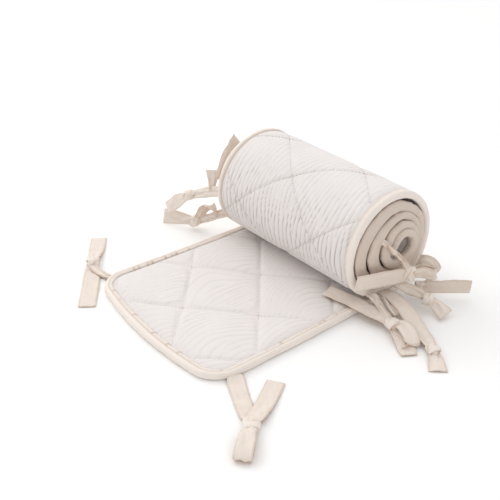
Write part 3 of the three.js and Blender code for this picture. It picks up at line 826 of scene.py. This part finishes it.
# The ties, in the order of their nodes. side (+1 towards +X) and s, in metres along the
# strip, give the root on its edge, and root the ribbon's width there in millimetres. A
# ribbon's rows are x, y, z of its middle in millimetres from the start of the roll, the
# heading of its width in plan and its tip above level in degrees, and its width in
# millimetres. A knot has its middle and its three half sizes in millimetres, and its
# heading in degrees.
TIES = {
    "tie_near_right": {
        "side": 1,
        "s": 34 * MM,
        "root": 22,
        "stem": (
            (147, -285, 3, 87, 0, 24),
            (174, -300, 1.6, 67, 0, 23),
            (203, -314, 2.5, 65, 0, 22),
            (222, -323, 6, 60, 0, 16),
        ),
        "ribbons": (
            (
                (224, -324, 9, 35, 0, 16),
                (217, -310, 7, 33, 0, 22),
                (203, -284, 3, 32, 0, 24),
                (181, -248, 1.6, 30, 0, 25),
            ),
            (
                (226, -328, 8, 42, 0, 16),
                (243, -348, 13, 42, 0, 22),
                (256, -364, 13, 44, 0, 23),
                (263, -372, 7, 44, 0, 23),
                (256, -364, 1.8, 44, 0, 23),
                (243, -348, 1.6, 42, 0, 20),
                (227, -329, 4, 42, 0, 16),
            ),
        ),
        "knot": ((225, -326, 6.6), (14, 11, 6), -50),
    },
    "tie_near_left": {
        "side": -1,
        "s": 21.5 * MM,
        "root": 10,
        "stem": (
            (-163, -279, 5, 85, 20, 10),
            (-176, -281, 5, 80, 0, 14),
            (-191, -283, 7, 70, 0, 13),
            (-202, -279, 7, 50, 0, 12),
        ),
        "ribbons": (
            (
                (-210, -272, 8, 52, 0, 13),
                (-222, -262, 6, 52, 0, 18),
                (-240, -248, 2.5, 52, 0, 24),
                (-270, -225, 1.6, 52, 0, 25),
            ),
            (
                (-202, -279, 6, 50, 0, 15),
                (-183, -292, 3, 52, 0, 24),
                (-153, -314, 1.6, 54, 0, 25),
                (-117, -342, 1.6, 54, 0, 25),
            ),
        ),
        "knot": ((-206, -276, 7.4), (12, 11, 7), 35),
    },
    "tie_roll_left_low": {
        "side": -1,
        "s": length_at(300),
        "root": 16,
        "stem": (
            (-158, -70, 36, -40, -60, 13),
            (-172, -74, 27, -40, -65, 13),
            (-192, -86, 17, -40, -60, 13),
        ),
        "ribbons": (
            (
                (-160, -72, 36, -40, -60, 14),
                (-164, -80, 52, 40, 0, 17),
                (-178, -80, 44, 60, -20, 18),
                (-192, -86, 20, 60, -20, 12),
            ),
            (
                (-198, -89, 15, -45, -75, 13),
                (-226, -102, 14, -45, -70, 22),
                (-246, -114, 13, -49, -62, 25),
            ),
        ),
        "knot": ((-196, -88, 15), (12, 10, 10), 40),
    },
    "tie_roll_left_mid": {
        "side": -1,
        "s": length_at(268),
        "root": 18,
        "stem": (
            (-157, -81, 82, -30, -75, 17),
            (-174, -82, 74, -40, -65, 17),
            (-200, -89, 62, -40, -60, 13),
        ),
        "ribbons": (
            ((-160, -81, 82, 50, 0, 8), (-161, -77, 98, 50, 0, 14), (-166, -72, 113, 50, 0, 22)),
            (
                (-206, -92, 60, -35, -50, 13),
                (-222, -103, 46, -20, -45, 24),
                (-238, -112, 30, -10, -40, 20),
            ),
        ),
        "knot": ((-205, -91, 60), (12, 10, 9), 40),
    },
    "tie_roll_left_high": {
        "side": -1,
        "s": length_at(254),
        "root": 14,
        "stem": (
            (-150, -74, 108, 90, 10, 9),
            (-154, -66, 118, 90, -40, 12),
            (-159, -50, 134, 90, -38, 19),
            (-166, -22, 151, 90, -37, 25),
        ),
        "ribbons": (),
        "knot": None,
    },
    "tie_roll_right_low": {
        "side": 1,
        "s": length_at(325),
        "root": 14,
        "stem": (
            (152, -42, 27, 75, 10, 12),
            (163, -42, 21, 72, 0, 12),
            (180, -47, 16, 65, 0, 11),
            (198, -54, 13, 60, 0, 12),
        ),
        "ribbons": (
            (
                (90, -70, 17.5, -64, -5, 25),
                (132, -61, 16.5, -74, -5, 25),
                (170, -57, 15, -84, -4, 24),
                (198, -55, 13, -84, -4, 15),
            ),
            (
                (202, -52, 15, 78, 10, 14),
                (218, -52, 18, 76, 12, 20),
                (236, -58, 15, 74, 10, 22),
                (246, -65, 8, 70, 0, 22),
                (238, -67, 3.5, 66, 0, 22),
                (222, -61, 7, 70, 0, 20),
                (204, -55, 11, 75, 0, 14),
            ),
            (
                (202, -56, 11, 75, 0, 14),
                (226, -64, 8, 72, 0, 22),
                (243, -72, 4, 65, 0, 24),
                (254, -79, 2.5, 60, 0, 22),
            ),
        ),
        "knot": ((202, -55, 13.5), (14, 11, 8), -15),
    },
    "tie_roll_right_mid": {
        "side": 1,
        "s": length_at(955),
        "root": 9,
        "stem": (
            (166, -24, 100, 60, -30, 7),
            (173, -6, 78, 60, -30, 8),
            (175, 2, 62, 70, -30, 10),
        ),
        "ribbons": (
            (
                (152, -78, 61, -75, 84, 26),
                (161, -46, 59, -75, 84, 26),
                (171, -8, 55, -75, 84, 25),
                (175, 6, 54, -75, 84, 20),
            ),
            (
                (175, 6, 54, -65, 80, 16),
                (183, 24, 53, -65, 78, 19),
                (189, 42, 46, -50, 75, 18),
                (187, 50, 43, -60, 75, 17),
                (179, 42, 47, -80, 78, 17),
                (174, 24, 54, -85, 80, 18),
                (174, 8, 55, -80, 80, 15),
            ),
        ),
        "knot": ((176, 4, 56), (8, 9, 14), 0),
    },
    "tie_roll_right_far": {
        "side": 1,
        "s": length_at(52),
        "root": 18,
        "stem": (
            (152, 66, 41, 90, 60, 19),
            (159, 73, 37, 90, 55, 20),
            (166, 76, 29, 70, 60, 18),
            (171, 66, 22, 20, 75, 15),
            (170, 42, 19, 0, 80, 14),
        ),
        "ribbons": (
            (
                (169, 36, 19, -40, 84, 15),
                (182, 46, 20, -42, 84, 22),
                (201, 67, 21, -42, 84, 24),
                (221, 89, 21, -42, 80, 25),
            ),
        ),
        "knot": ((170, 37, 18.5), (9, 9, 9.5), 0),
    },
    "tie_roll_right_in": {
        "side": 1,
        "s": length_at(712),
        "root": 12,
        "stem": (
            (163, -1, 34, -40, -60, 12),
            (176, 8, 29, -45, -75, 17),
            (190, 15, 25, -50, -70, 14),
            (200, 19, 21, -50, -60, 12),
        ),
        "ribbons": (
            (
                (201, 20, 21, -65, -55, 12),
                (212, 22, 16, -80, -45, 16),
                (232, 23, 8, -86, -22, 24),
            ),
        ),
        "knot": ((201, 19, 20.5), (10, 10, 9), 20),
    },
    "tie_roll_right_out": {
        "side": 1,
        "s": length_at(345),
        "root": 18,
        "stem": (
            (158, -16, 23, 80, 0, 20),
            (184, -19, 21, 78, 0, 24),
            (215, -28, 14, 70, 0, 24),
            (248, -40, 8.5, 68, 0, 21),
            (268, -49, 7, 66, 0, 14),
        ),
        "ribbons": (
            ((156, -22, 22, 80, 0, 10), (178, -31, 17, 72, 0, 11), (193, -34, 14, 70, 0, 11)),
            (
                (272, -51, 6, 55, 0, 13),
                (284, -61, 4, 50, 0, 19),
                (300, -76, 1.8, 46, 0, 25),
            ),
        ),
        "knot": ((270, -50, 7), (12, 10, 6), -25),
    },
}


def stations(rows):
    """A ribbon's rows as arrays in metres: middles, width directions and widths."""
    rows = np.array(rows, float)
    heading, tip = np.radians(rows[:, 3]), np.radians(rows[:, 4])
    level = np.cos(tip)
    across = np.stack([level * np.cos(heading), level * np.sin(heading), np.sin(tip)], axis=-1)
    middles = rows[:, :3] * MM + (0, ROLL_START, 0)
    return middles, across, rows[:, 5] * MM


def root_station(side, s, wide):
    """Where a tie is sewn to the long edge, a little inside the rim at mid height, with
    its width along the rim."""
    into = max(CORNER_RADIUS - s, 0)
    reach = math.sqrt(CORNER_RADIUS**2 - into**2)
    u = STRIP_WIDTH / 2 - CORNER_RADIUS + reach - ROOT_TUCK
    at = place(side * u, s, EDGE_HEIGHT)
    ahead = place(side * (u + into / reach * MM), s + MM, EDGE_HEIGHT)
    across = (ahead - at) / np.linalg.norm(ahead - at)
    return at[None], across[None], np.array([wide * MM])


def ribbon_surface(middles, across, widths, rng):
    """A ribbon as a closed band: its section is carried along a smooth line through the
    rows, pleated where the ribbon is gathered narrower than its own width, with a slow
    waver. Returns points, faces, uv, painted shade and its length; the shade is darker
    in the pleats, in the small wrinkles where gathered, and on the side that faces down."""
    gone = np.concatenate([[0], np.cumsum(np.linalg.norm(np.diff(middles, axis=0), axis=1))])
    at = np.linspace(0, gone[-1], max(int(gone[-1] / TIE_STEP), 4) + 1)
    middle = curve_through(middles, gone, at)
    side = curve_through(across, gone, at)
    wide = np.interp(at, gone, widths)
    along = np.gradient(middle, at, axis=0)
    along /= np.linalg.norm(along, axis=1, keepdims=True)
    side -= along * np.sum(side * along, axis=1, keepdims=True)
    side /= np.linalg.norm(side, axis=1, keepdims=True)
    up = np.cross(along, side)
    v = np.linspace(-1, 1, TIE_POINTS)
    gather = np.clip(1 - wide / TIE_WIDTH, 0, 1)[:, None]
    phase = rng.uniform(0, 2 * math.pi)
    drift = PLEAT_DRIFT * slow_waves(at, 0, rng, DRIFT_LENGTH, 4)[:, None]
    pleat = PLEAT_DEPTH * gather * np.cos(PLEATS * math.pi * v[None] + phase + drift)
    waver = WAVER * slow_waves(at[:, None], WRINKLE_SPAN * v[None], rng, WAVER_LENGTH, 5)
    small = slow_waves(at[:, None], WRINKLE_SPAN * v[None], rng, SMALL_LENGTH, 7)
    waver = waver + (SMALL_WRINKLE + GATHER_WRINKLE * gather) * small
    cloth = TIE_CLOTH / 2 * (1 - EDGE_THINNING * np.abs(v[None]) ** 6)
    cloth = cloth * (1 + GATHER_THICKENING * gather)
    flat = middle[:, None] + side[:, None] * (wide[:, None] / 2 * v[None])[..., None]
    top = flat + up[:, None] * (pleat + waver + cloth)[..., None]
    bottom = flat + up[:, None] * (pleat + waver - cloth)[..., None]
    points = np.concatenate([top, bottom[:, ::-1]], axis=1)
    points[..., 2] = np.maximum(points[..., 2], FLOOR_GAP)
    rows, columns = points.shape[:2]
    faces = grid_faces(rows, columns, close_columns=True).tolist()
    lower = np.arange(TIE_POINTS - 1)
    for first, flip in ((0, False), ((rows - 1) * columns, True)):
        a, b = first + lower, first + lower + 1
        c, d = first + columns - 2 - lower, first + columns - 1 - lower
        cap = np.stack([a, d, c, b] if not flip else [a, b, c, d], axis=-1)
        faces += cap.tolist()
    spread = np.concatenate([v, v[::-1]]) * TIE_WIDTH / 2
    uv = np.stack(np.broadcast_arrays(spread[None], at[:, None]), axis=-1)
    both = np.concatenate([pleat, pleat[:, ::-1]], axis=1)
    small_both = np.concatenate([small, small[:, ::-1]], axis=1)
    gathered = gather * np.ones(points.shape[:2])
    # Painted shade on the side of the band that faces down
    tilt = np.broadcast_to(up[:, 2:], pleat.shape)
    faces_down = np.clip(np.concatenate([-tilt, tilt], axis=1), 0, 1)
    shade = RIBBON_SHADE - PLEAT_SHADE * both / PLEAT_DEPTH - SMALL_WRINKLE_SHADE * gathered * small_both
    shade = np.clip(shade + UNDERSIDE_SHADE * faces_down, 0, 1)
    return points.reshape(-1, 3), faces, uv.reshape(-1, 2), shade.ravel(), float(gone[-1])


def band_surface(centre, size, heading, lean, swell, rng):
    """One wrap of a knot: an oval section, wider than it is thick and pleated by fine and
    broad folds, is carried round an oval ring that stands across the tie and leans a
    little, like a flat ring round a finger. Returns what a ribbon does."""
    around = np.linspace(0, 2 * math.pi, KNOT_RINGS, endpoint=False)[:, None]
    section = np.linspace(0, 2 * math.pi, KNOT_SIDES, endpoint=False)[None, :]
    length, breadth, height = (np.array(size) * MM) * swell
    phase = rng.uniform(0, 6, 2)
    fine = np.cos(KNOT_FINE_FOLDS * section + around + phase[0])
    broad = np.cos(KNOT_BROAD_FOLDS * section - around + phase[1])
    fold = KNOT_FINE_SHARE * fine + broad
    pleat = 1 + KNOT_PLEAT * fold
    half = KNOT_LENGTH * length * (1 + KNOT_UNEVEN * np.cos(around + rng.uniform(0, 6)))
    bulk = KNOT_BULK * min(breadth, height)
    x = half * np.sin(section) * pleat
    out = bulk * np.cos(section) * pleat
    y = (breadth - bulk + out) * np.cos(around)
    z = (height - bulk + out) * np.sin(around)
    x = x + lean * z
    turn = math.radians(heading)
    px = x * math.cos(turn) - y * math.sin(turn)
    py = x * math.sin(turn) + y * math.cos(turn)
    points = np.stack(np.broadcast_arrays(px, py, z), axis=-1)
    points = points + np.array(centre) * MM + (0, ROLL_START, 0)
    points[..., 2] = np.maximum(points[..., 2], FLOOR_GAP)
    faces = grid_faces(KNOT_RINGS, KNOT_SIDES, close_rows=True, close_columns=True)
    uv = np.stack(np.broadcast_arrays(section * half / 2, around * breadth), axis=-1)
    # Painted shade: darker on the inner side of the section and in its folds
    shade = KNOT_SHADE - KNOT_FOLD_SHADE * np.cos(section) - KNOT_FOLD_SHADE * fold
    shade = np.clip(shade, 0, KNOT_MOST_SHADE)
    return points.reshape(-1, 3), faces.tolist(), uv.reshape(-1, 2), shade.ravel(), KNOT_TAKES


def make_tie(node, facts):
    """One tie: its stem from the strip's edge, its other ribbons and its knot's wraps,
    joined as one piece. Returns it and the ribbon's length."""
    rng = np.random.default_rng(SEED + sum(map(ord, node)))
    root = root_station(facts["side"], facts["s"], facts["root"])
    stem = [np.concatenate(pair) for pair in zip(root, stations(facts["stem"]))]
    parts = [ribbon_surface(*stem, rng)]
    parts += [ribbon_surface(*stations(rows), rng) for rows in facts["ribbons"]]
    if facts["knot"]:
        centre, size, heading = facts["knot"]
        for turned, lean, swell in KNOT_WRAPS:
            parts.append(band_surface(centre, size, heading + turned, lean, swell, rng))
    points, faces, uv, shade = [], [], [], []
    count, length = 0, 0
    for own_points, own_faces, own_uv, own_shade, own_length in parts:
        points.append(own_points)
        faces += [[count + k for k in f] for f in own_faces]
        uv.append(own_uv)
        shade.append(own_shade)
        count += len(own_points)
        length += own_length
    name = node.replace("tie_", "tied_ribbon_")
    piece = add_mesh(
        name, np.concatenate(points), faces, np.concatenate(uv), np.concatenate(shade)
    )
    weld(piece)
    return piece, length


# Stage

CAMERA_AZIMUTH = 49.64
CAMERA_ELEVATION = 31.13
CAMERA_DISTANCE = 1.527
CAMERA_AIM = (-0.1614, ROLL_START, -0.0586)
LENS = 64.8
SENSOR = 36.0
FLOOR_SIZE = 40.0
SKY_BRIGHTEST = (-0.60, 0.25, 0.76)
SKY_SLOPE = 0.75
SKY_MIDDLE = 0.58
SKY_LEAST = 0.35
FLOOR_COLOUR = (0.97, 0.97, 0.97, 1)

# Name, azimuth and elevation in degrees, distance and size in metres, watts and colour
SOFTBOXES = (
    ("key_softbox", -75, 40, 2.2, 1.0, 7.5, 0xFFFBF6),
    ("front_softbox", 62, 18, 2.4, 1.0, 7, 0xFFFBF8),
)
SOFTBOX_AIM = (0, -0.05, 0.05)


def aim_object(thing, azimuth, elevation, distance, aim):
    """Puts a camera or light at a distance from a point, looking at it."""
    a, e = math.radians(azimuth), math.radians(elevation)
    back = Vector((math.sin(a) * math.cos(e), -math.cos(a) * math.cos(e), math.sin(e)))
    thing.location = Vector(aim) + back * distance
    thing.rotation_mode = "QUATERNION"
    thing.rotation_quaternion = (-back).to_track_quat("-Z", "Y")


def make_camera():
    """The camera at the photograph's angle."""
    data = bpy.data.cameras.new("camera")
    data.lens = LENS
    data.sensor_width = SENSOR
    camera = bpy.data.objects.new("camera", data)
    bpy.context.collection.objects.link(camera)
    aim_object(camera, CAMERA_AZIMUTH, CAMERA_ELEVATION, CAMERA_DISTANCE, CAMERA_AIM)
    bpy.context.scene.camera = camera


def make_softbox(name, azimuth, elevation, distance, size, power, colour):
    """A large square light that looks at the part."""
    data = bpy.data.lights.new(name, "AREA")
    data.size = size
    data.energy = power
    data.color = linear(colour)[:3]
    light = bpy.data.objects.new(name, data)
    bpy.context.collection.objects.link(light)
    aim_object(light, azimuth, elevation, distance, SOFTBOX_AIM)


def make_world():
    """A white studio that is brightest above the back left: its strength is a straight
    line in the cosine of the angle from there, down to a least one."""
    world = bpy.data.worlds.new("studio")
    world.use_nodes = True
    tree = world.node_tree
    way = add_node(tree, "ShaderNodeTexCoord").outputs["Generated"]
    cosine = add_node(
        tree, "ShaderNodeVectorMath", {0: way, 1: SKY_BRIGHTEST}, operation="DOT_PRODUCT"
    )
    slope = {0: cosine.outputs["Value"], 1: SKY_SLOPE, 2: SKY_MIDDLE}
    strength = add_node(tree, "ShaderNodeMath", slope, operation="MULTIPLY_ADD").outputs[0]
    least = {0: strength, 1: SKY_LEAST}
    strength = add_node(tree, "ShaderNodeMath", least, operation="MAXIMUM").outputs[0]
    backdrop = tree.nodes["Background"]
    tree.links.new(strength, backdrop.inputs["Strength"])
    backdrop.inputs["Color"].default_value = linear(0xFFFFFF)
    return world


def make_floor():
    """A plain pale floor, well past the view's edges."""
    half = FLOOR_SIZE / 2
    points = np.array([(-half, -half, 0), (half, -half, 0), (half, half, 0), (-half, half, 0)])
    floor = add_mesh("floor", points, [(0, 1, 2, 3)])
    # Backdrop paper: white and matt, so that it only takes the soft shadow
    material, tree, shader = new_material("pale_paper")
    shader.inputs["Base Color"].default_value = FLOOR_COLOUR
    shader.inputs["Roughness"].default_value = 1.0
    shader.inputs["Specular IOR Level"].default_value = 0.0
    floor.data.materials.append(material)


# Add-on


def colour_property(name, description, code):
    """A colour property whose default is a hex value."""
    return bpy.props.FloatVectorProperty(
        name=name,
        description=description,
        subtype="COLOR",
        size=4,
        min=0,
        max=1,
        default=linear(code),
    )


def length_property(name, description, value):
    """A length in metres."""
    return bpy.props.FloatProperty(
        name=name, description=description, default=value, min=0, unit="LENGTH", precision=5
    )


class BumperPanelStyle(bpy.types.PropertyGroup):
    """Colours of the quilted panel and the size of its crinkles"""

    muslin: colour_property("Muslin", "Colour of the muslin's ridges", 0xEDE8E6)
    # The muslin's painted shade colour, for its creases, seams and inner turns
    muslin_shade: colour_property("Muslin crease", "Its colour in the creases", 0xC4B9B5)
    # The thread's colour is darker than the muslin partly as painted shade for the dimple each
    # stitch pulls
    thread: colour_property("Thread", "Colour of the quilting thread", 0xCCC1BA)
    flat_depth: length_property("Flat crinkle", "Crinkle height on the flat stretch", 0.00031)
    roll_depth: length_property("Roll crinkle", "Crinkle height on the roll", 0.0010)
    flat_pitch: length_property("Flat pitch", "Distance between ridges on the flat", 0.0092)
    roll_pitch: length_property("Roll pitch", "Distance between ridges on the roll", 0.0082)


class BumperTrimStyle(bpy.types.PropertyGroup):
    """Colours of the binding and the ties"""

    binding: colour_property("Binding", "Colour of the sateen binding", 0xF5ECE4)
    # The binding's painted shade colour, for its fold line, tucked edges and inner turns
    binding_shade: colour_property("Binding crease", "Its colour in folds", 0xC9B7A8)
    ribbon: colour_property("Ribbon", "Colour of the ties", 0xEFE7DF)
    # The ribbon's painted shade colour, warm like light bounced inside its folds
    ribbon_shade: colour_property("Ribbon crease", "Its colour in folds", 0xCBA98B)
    pucker: length_property("Pucker", "How far the binding's seam edge wavers", 0.0007)


class BUMPER_OT_muslin_panel(bpy.types.Operator):
    """Make the quilted panel of crinkled muslin"""

    bl_idname = "bumper.muslin_panel"
    bl_label = "Muslin Panel"

    def execute(self, context):
        style = context.scene.bumper_panel
        panel = make_panel(style)
        # Double-layer cotton muslin, woven open and washed: matt, with soft crinkles and
        # a slubby weave. Its threads lie about 0.5 mm apart, too fine to show, and are
        # drawn 1.1 mm apart.
        material = cloth_material(
            "crinkled_muslin",
            style.muslin,
            style.muslin_shade,
            thread=0.0011,
            slub=(0.0022, 0.012),
            roughness=0.95,
            sheen=0.1,
            bump=0.5,
        )
        panel.data.materials.append(material)
        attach(panel, "root")
        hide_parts("quilted_panel")
        return {"FINISHED"}


class BUMPER_OT_quilting_thread(bpy.types.Operator):
    """Make the stitches along the quilting lines"""

    bl_idname = "bumper.quilting_thread"
    bl_label = "Quilting Thread"

    def execute(self, context):
        style = context.scene.bumper_panel
        thread = make_stitches(style)
        # Spun cotton sewing thread: dull. Its colour is darker than the muslin, partly as
        # painted shade for the dimple each stitch pulls.
        cotton, _, shader = new_material("quilting_cotton")
        shader.inputs["Base Color"].default_value = style.thread
        shader.inputs["Roughness"].default_value = 0.8
        thread.data.materials.append(cotton)
        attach(thread, "root")
        return {"FINISHED"}


class BUMPER_OT_binding(bpy.types.Operator):
    """Make the sateen binding round the edge"""

    bl_idname = "bumper.binding"
    bl_label = "Binding"

    def execute(self, context):
        style = context.scene.bumper_trim
        binding, perimeter = make_binding(style)
        # Cotton sateen, woven tight and cut on the bias: smooth and cream, with a faint
        # sheen. Its threads lie about 0.25 mm apart and are drawn 0.8 mm apart to show.
        material = cloth_material(
            "cotton_sateen",
            style.binding,
            style.binding_shade,
            thread=0.0008,
            slub=(0.004, 0.0025),
            roughness=0.62,
            sheen=0.15,
            bump=0.3,
        )
        binding.data.materials.append(material)
        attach(binding, "root")
        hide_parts("edge_binding")
        return {"FINISHED"}


class BUMPER_OT_ties(bpy.types.Operator):
    """Make the knotted ribbon ties"""

    bl_idname = "bumper.ties"
    bl_label = "Ties"

    def execute(self, context):
        style = context.scene.bumper_trim
        # The same sateen, folded and sewn into flat ribbon: a little duller, with a line of
        # stitches along both edges and its threads drawn as coarse
        material = cloth_material(
            "ribbon_sateen",
            style.ribbon,
            style.ribbon_shade,
            thread=0.0008,
            slub=(0.003, 0.006),
            roughness=0.7,
            sheen=0.15,
            bump=0.35,
            hem=True,
        )
        for node, facts in TIES.items():
            tie, length = make_tie(node, facts)
            tie.data.materials.append(material)
            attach(tie, "root")
            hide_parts(node)
        return {"FINISHED"}


class BUMPER_OT_stage(bpy.types.Operator):
    """Make the floor, the lights and the camera"""

    bl_idname = "bumper.stage"
    bl_label = "Stage"

    def execute(self, context):
        make_camera()
        make_floor()
        for softbox in SOFTBOXES:
            make_softbox(*softbox)
        context.scene.world = make_world()
        context.scene.view_settings.view_transform = "Standard"
        return {"FINISHED"}


class BUMPER_PT_sidebar(bpy.types.Panel):
    """Lists the pieces and their sizes"""

    bl_idname = "BUMPER_PT_sidebar"
    bl_label = "Crib Bumper"
    bl_space_type = "VIEW_3D"
    bl_region_type = "UI"
    bl_category = "Bumper"

    def draw(self, context):
        scene = context.scene
        for style in (scene.bumper_panel, scene.bumper_trim):
            for name in style.__annotations__:
                self.layout.prop(style, name)
        for operator in OPERATORS:
            self.layout.operator(operator.bl_idname)


OPERATORS = (
    BUMPER_OT_muslin_panel,
    BUMPER_OT_quilting_thread,
    BUMPER_OT_binding,
    BUMPER_OT_ties,
    BUMPER_OT_stage,
)
GROUPS = (BumperPanelStyle, BumperTrimStyle)


def register():
    """Adds the classes and the scene's two groups of properties."""
    for group in (*GROUPS, *OPERATORS, BUMPER_PT_sidebar):
        bpy.utils.register_class(group)
    bpy.types.Scene.bumper_panel = bpy.props.PointerProperty(type=BumperPanelStyle)
    bpy.types.Scene.bumper_trim = bpy.props.PointerProperty(type=BumperTrimStyle)


def unregister():
    """Takes away what register adds, in the opposite order."""
    del bpy.types.Scene.bumper_trim
    del bpy.types.Scene.bumper_panel
    for group in reversed((*GROUPS, *OPERATORS, BUMPER_PT_sidebar)):
        bpy.utils.unregister_class(group)


def main():
    """Makes every piece and the stage."""
    register()
    bpy.ops.bumper.muslin_panel()
    bpy.ops.bumper.quilting_thread()
    bpy.ops.bumper.binding()
    bpy.ops.bumper.ties()
    bpy.ops.bumper.stage()


if __name__ == "__main__":
    main()
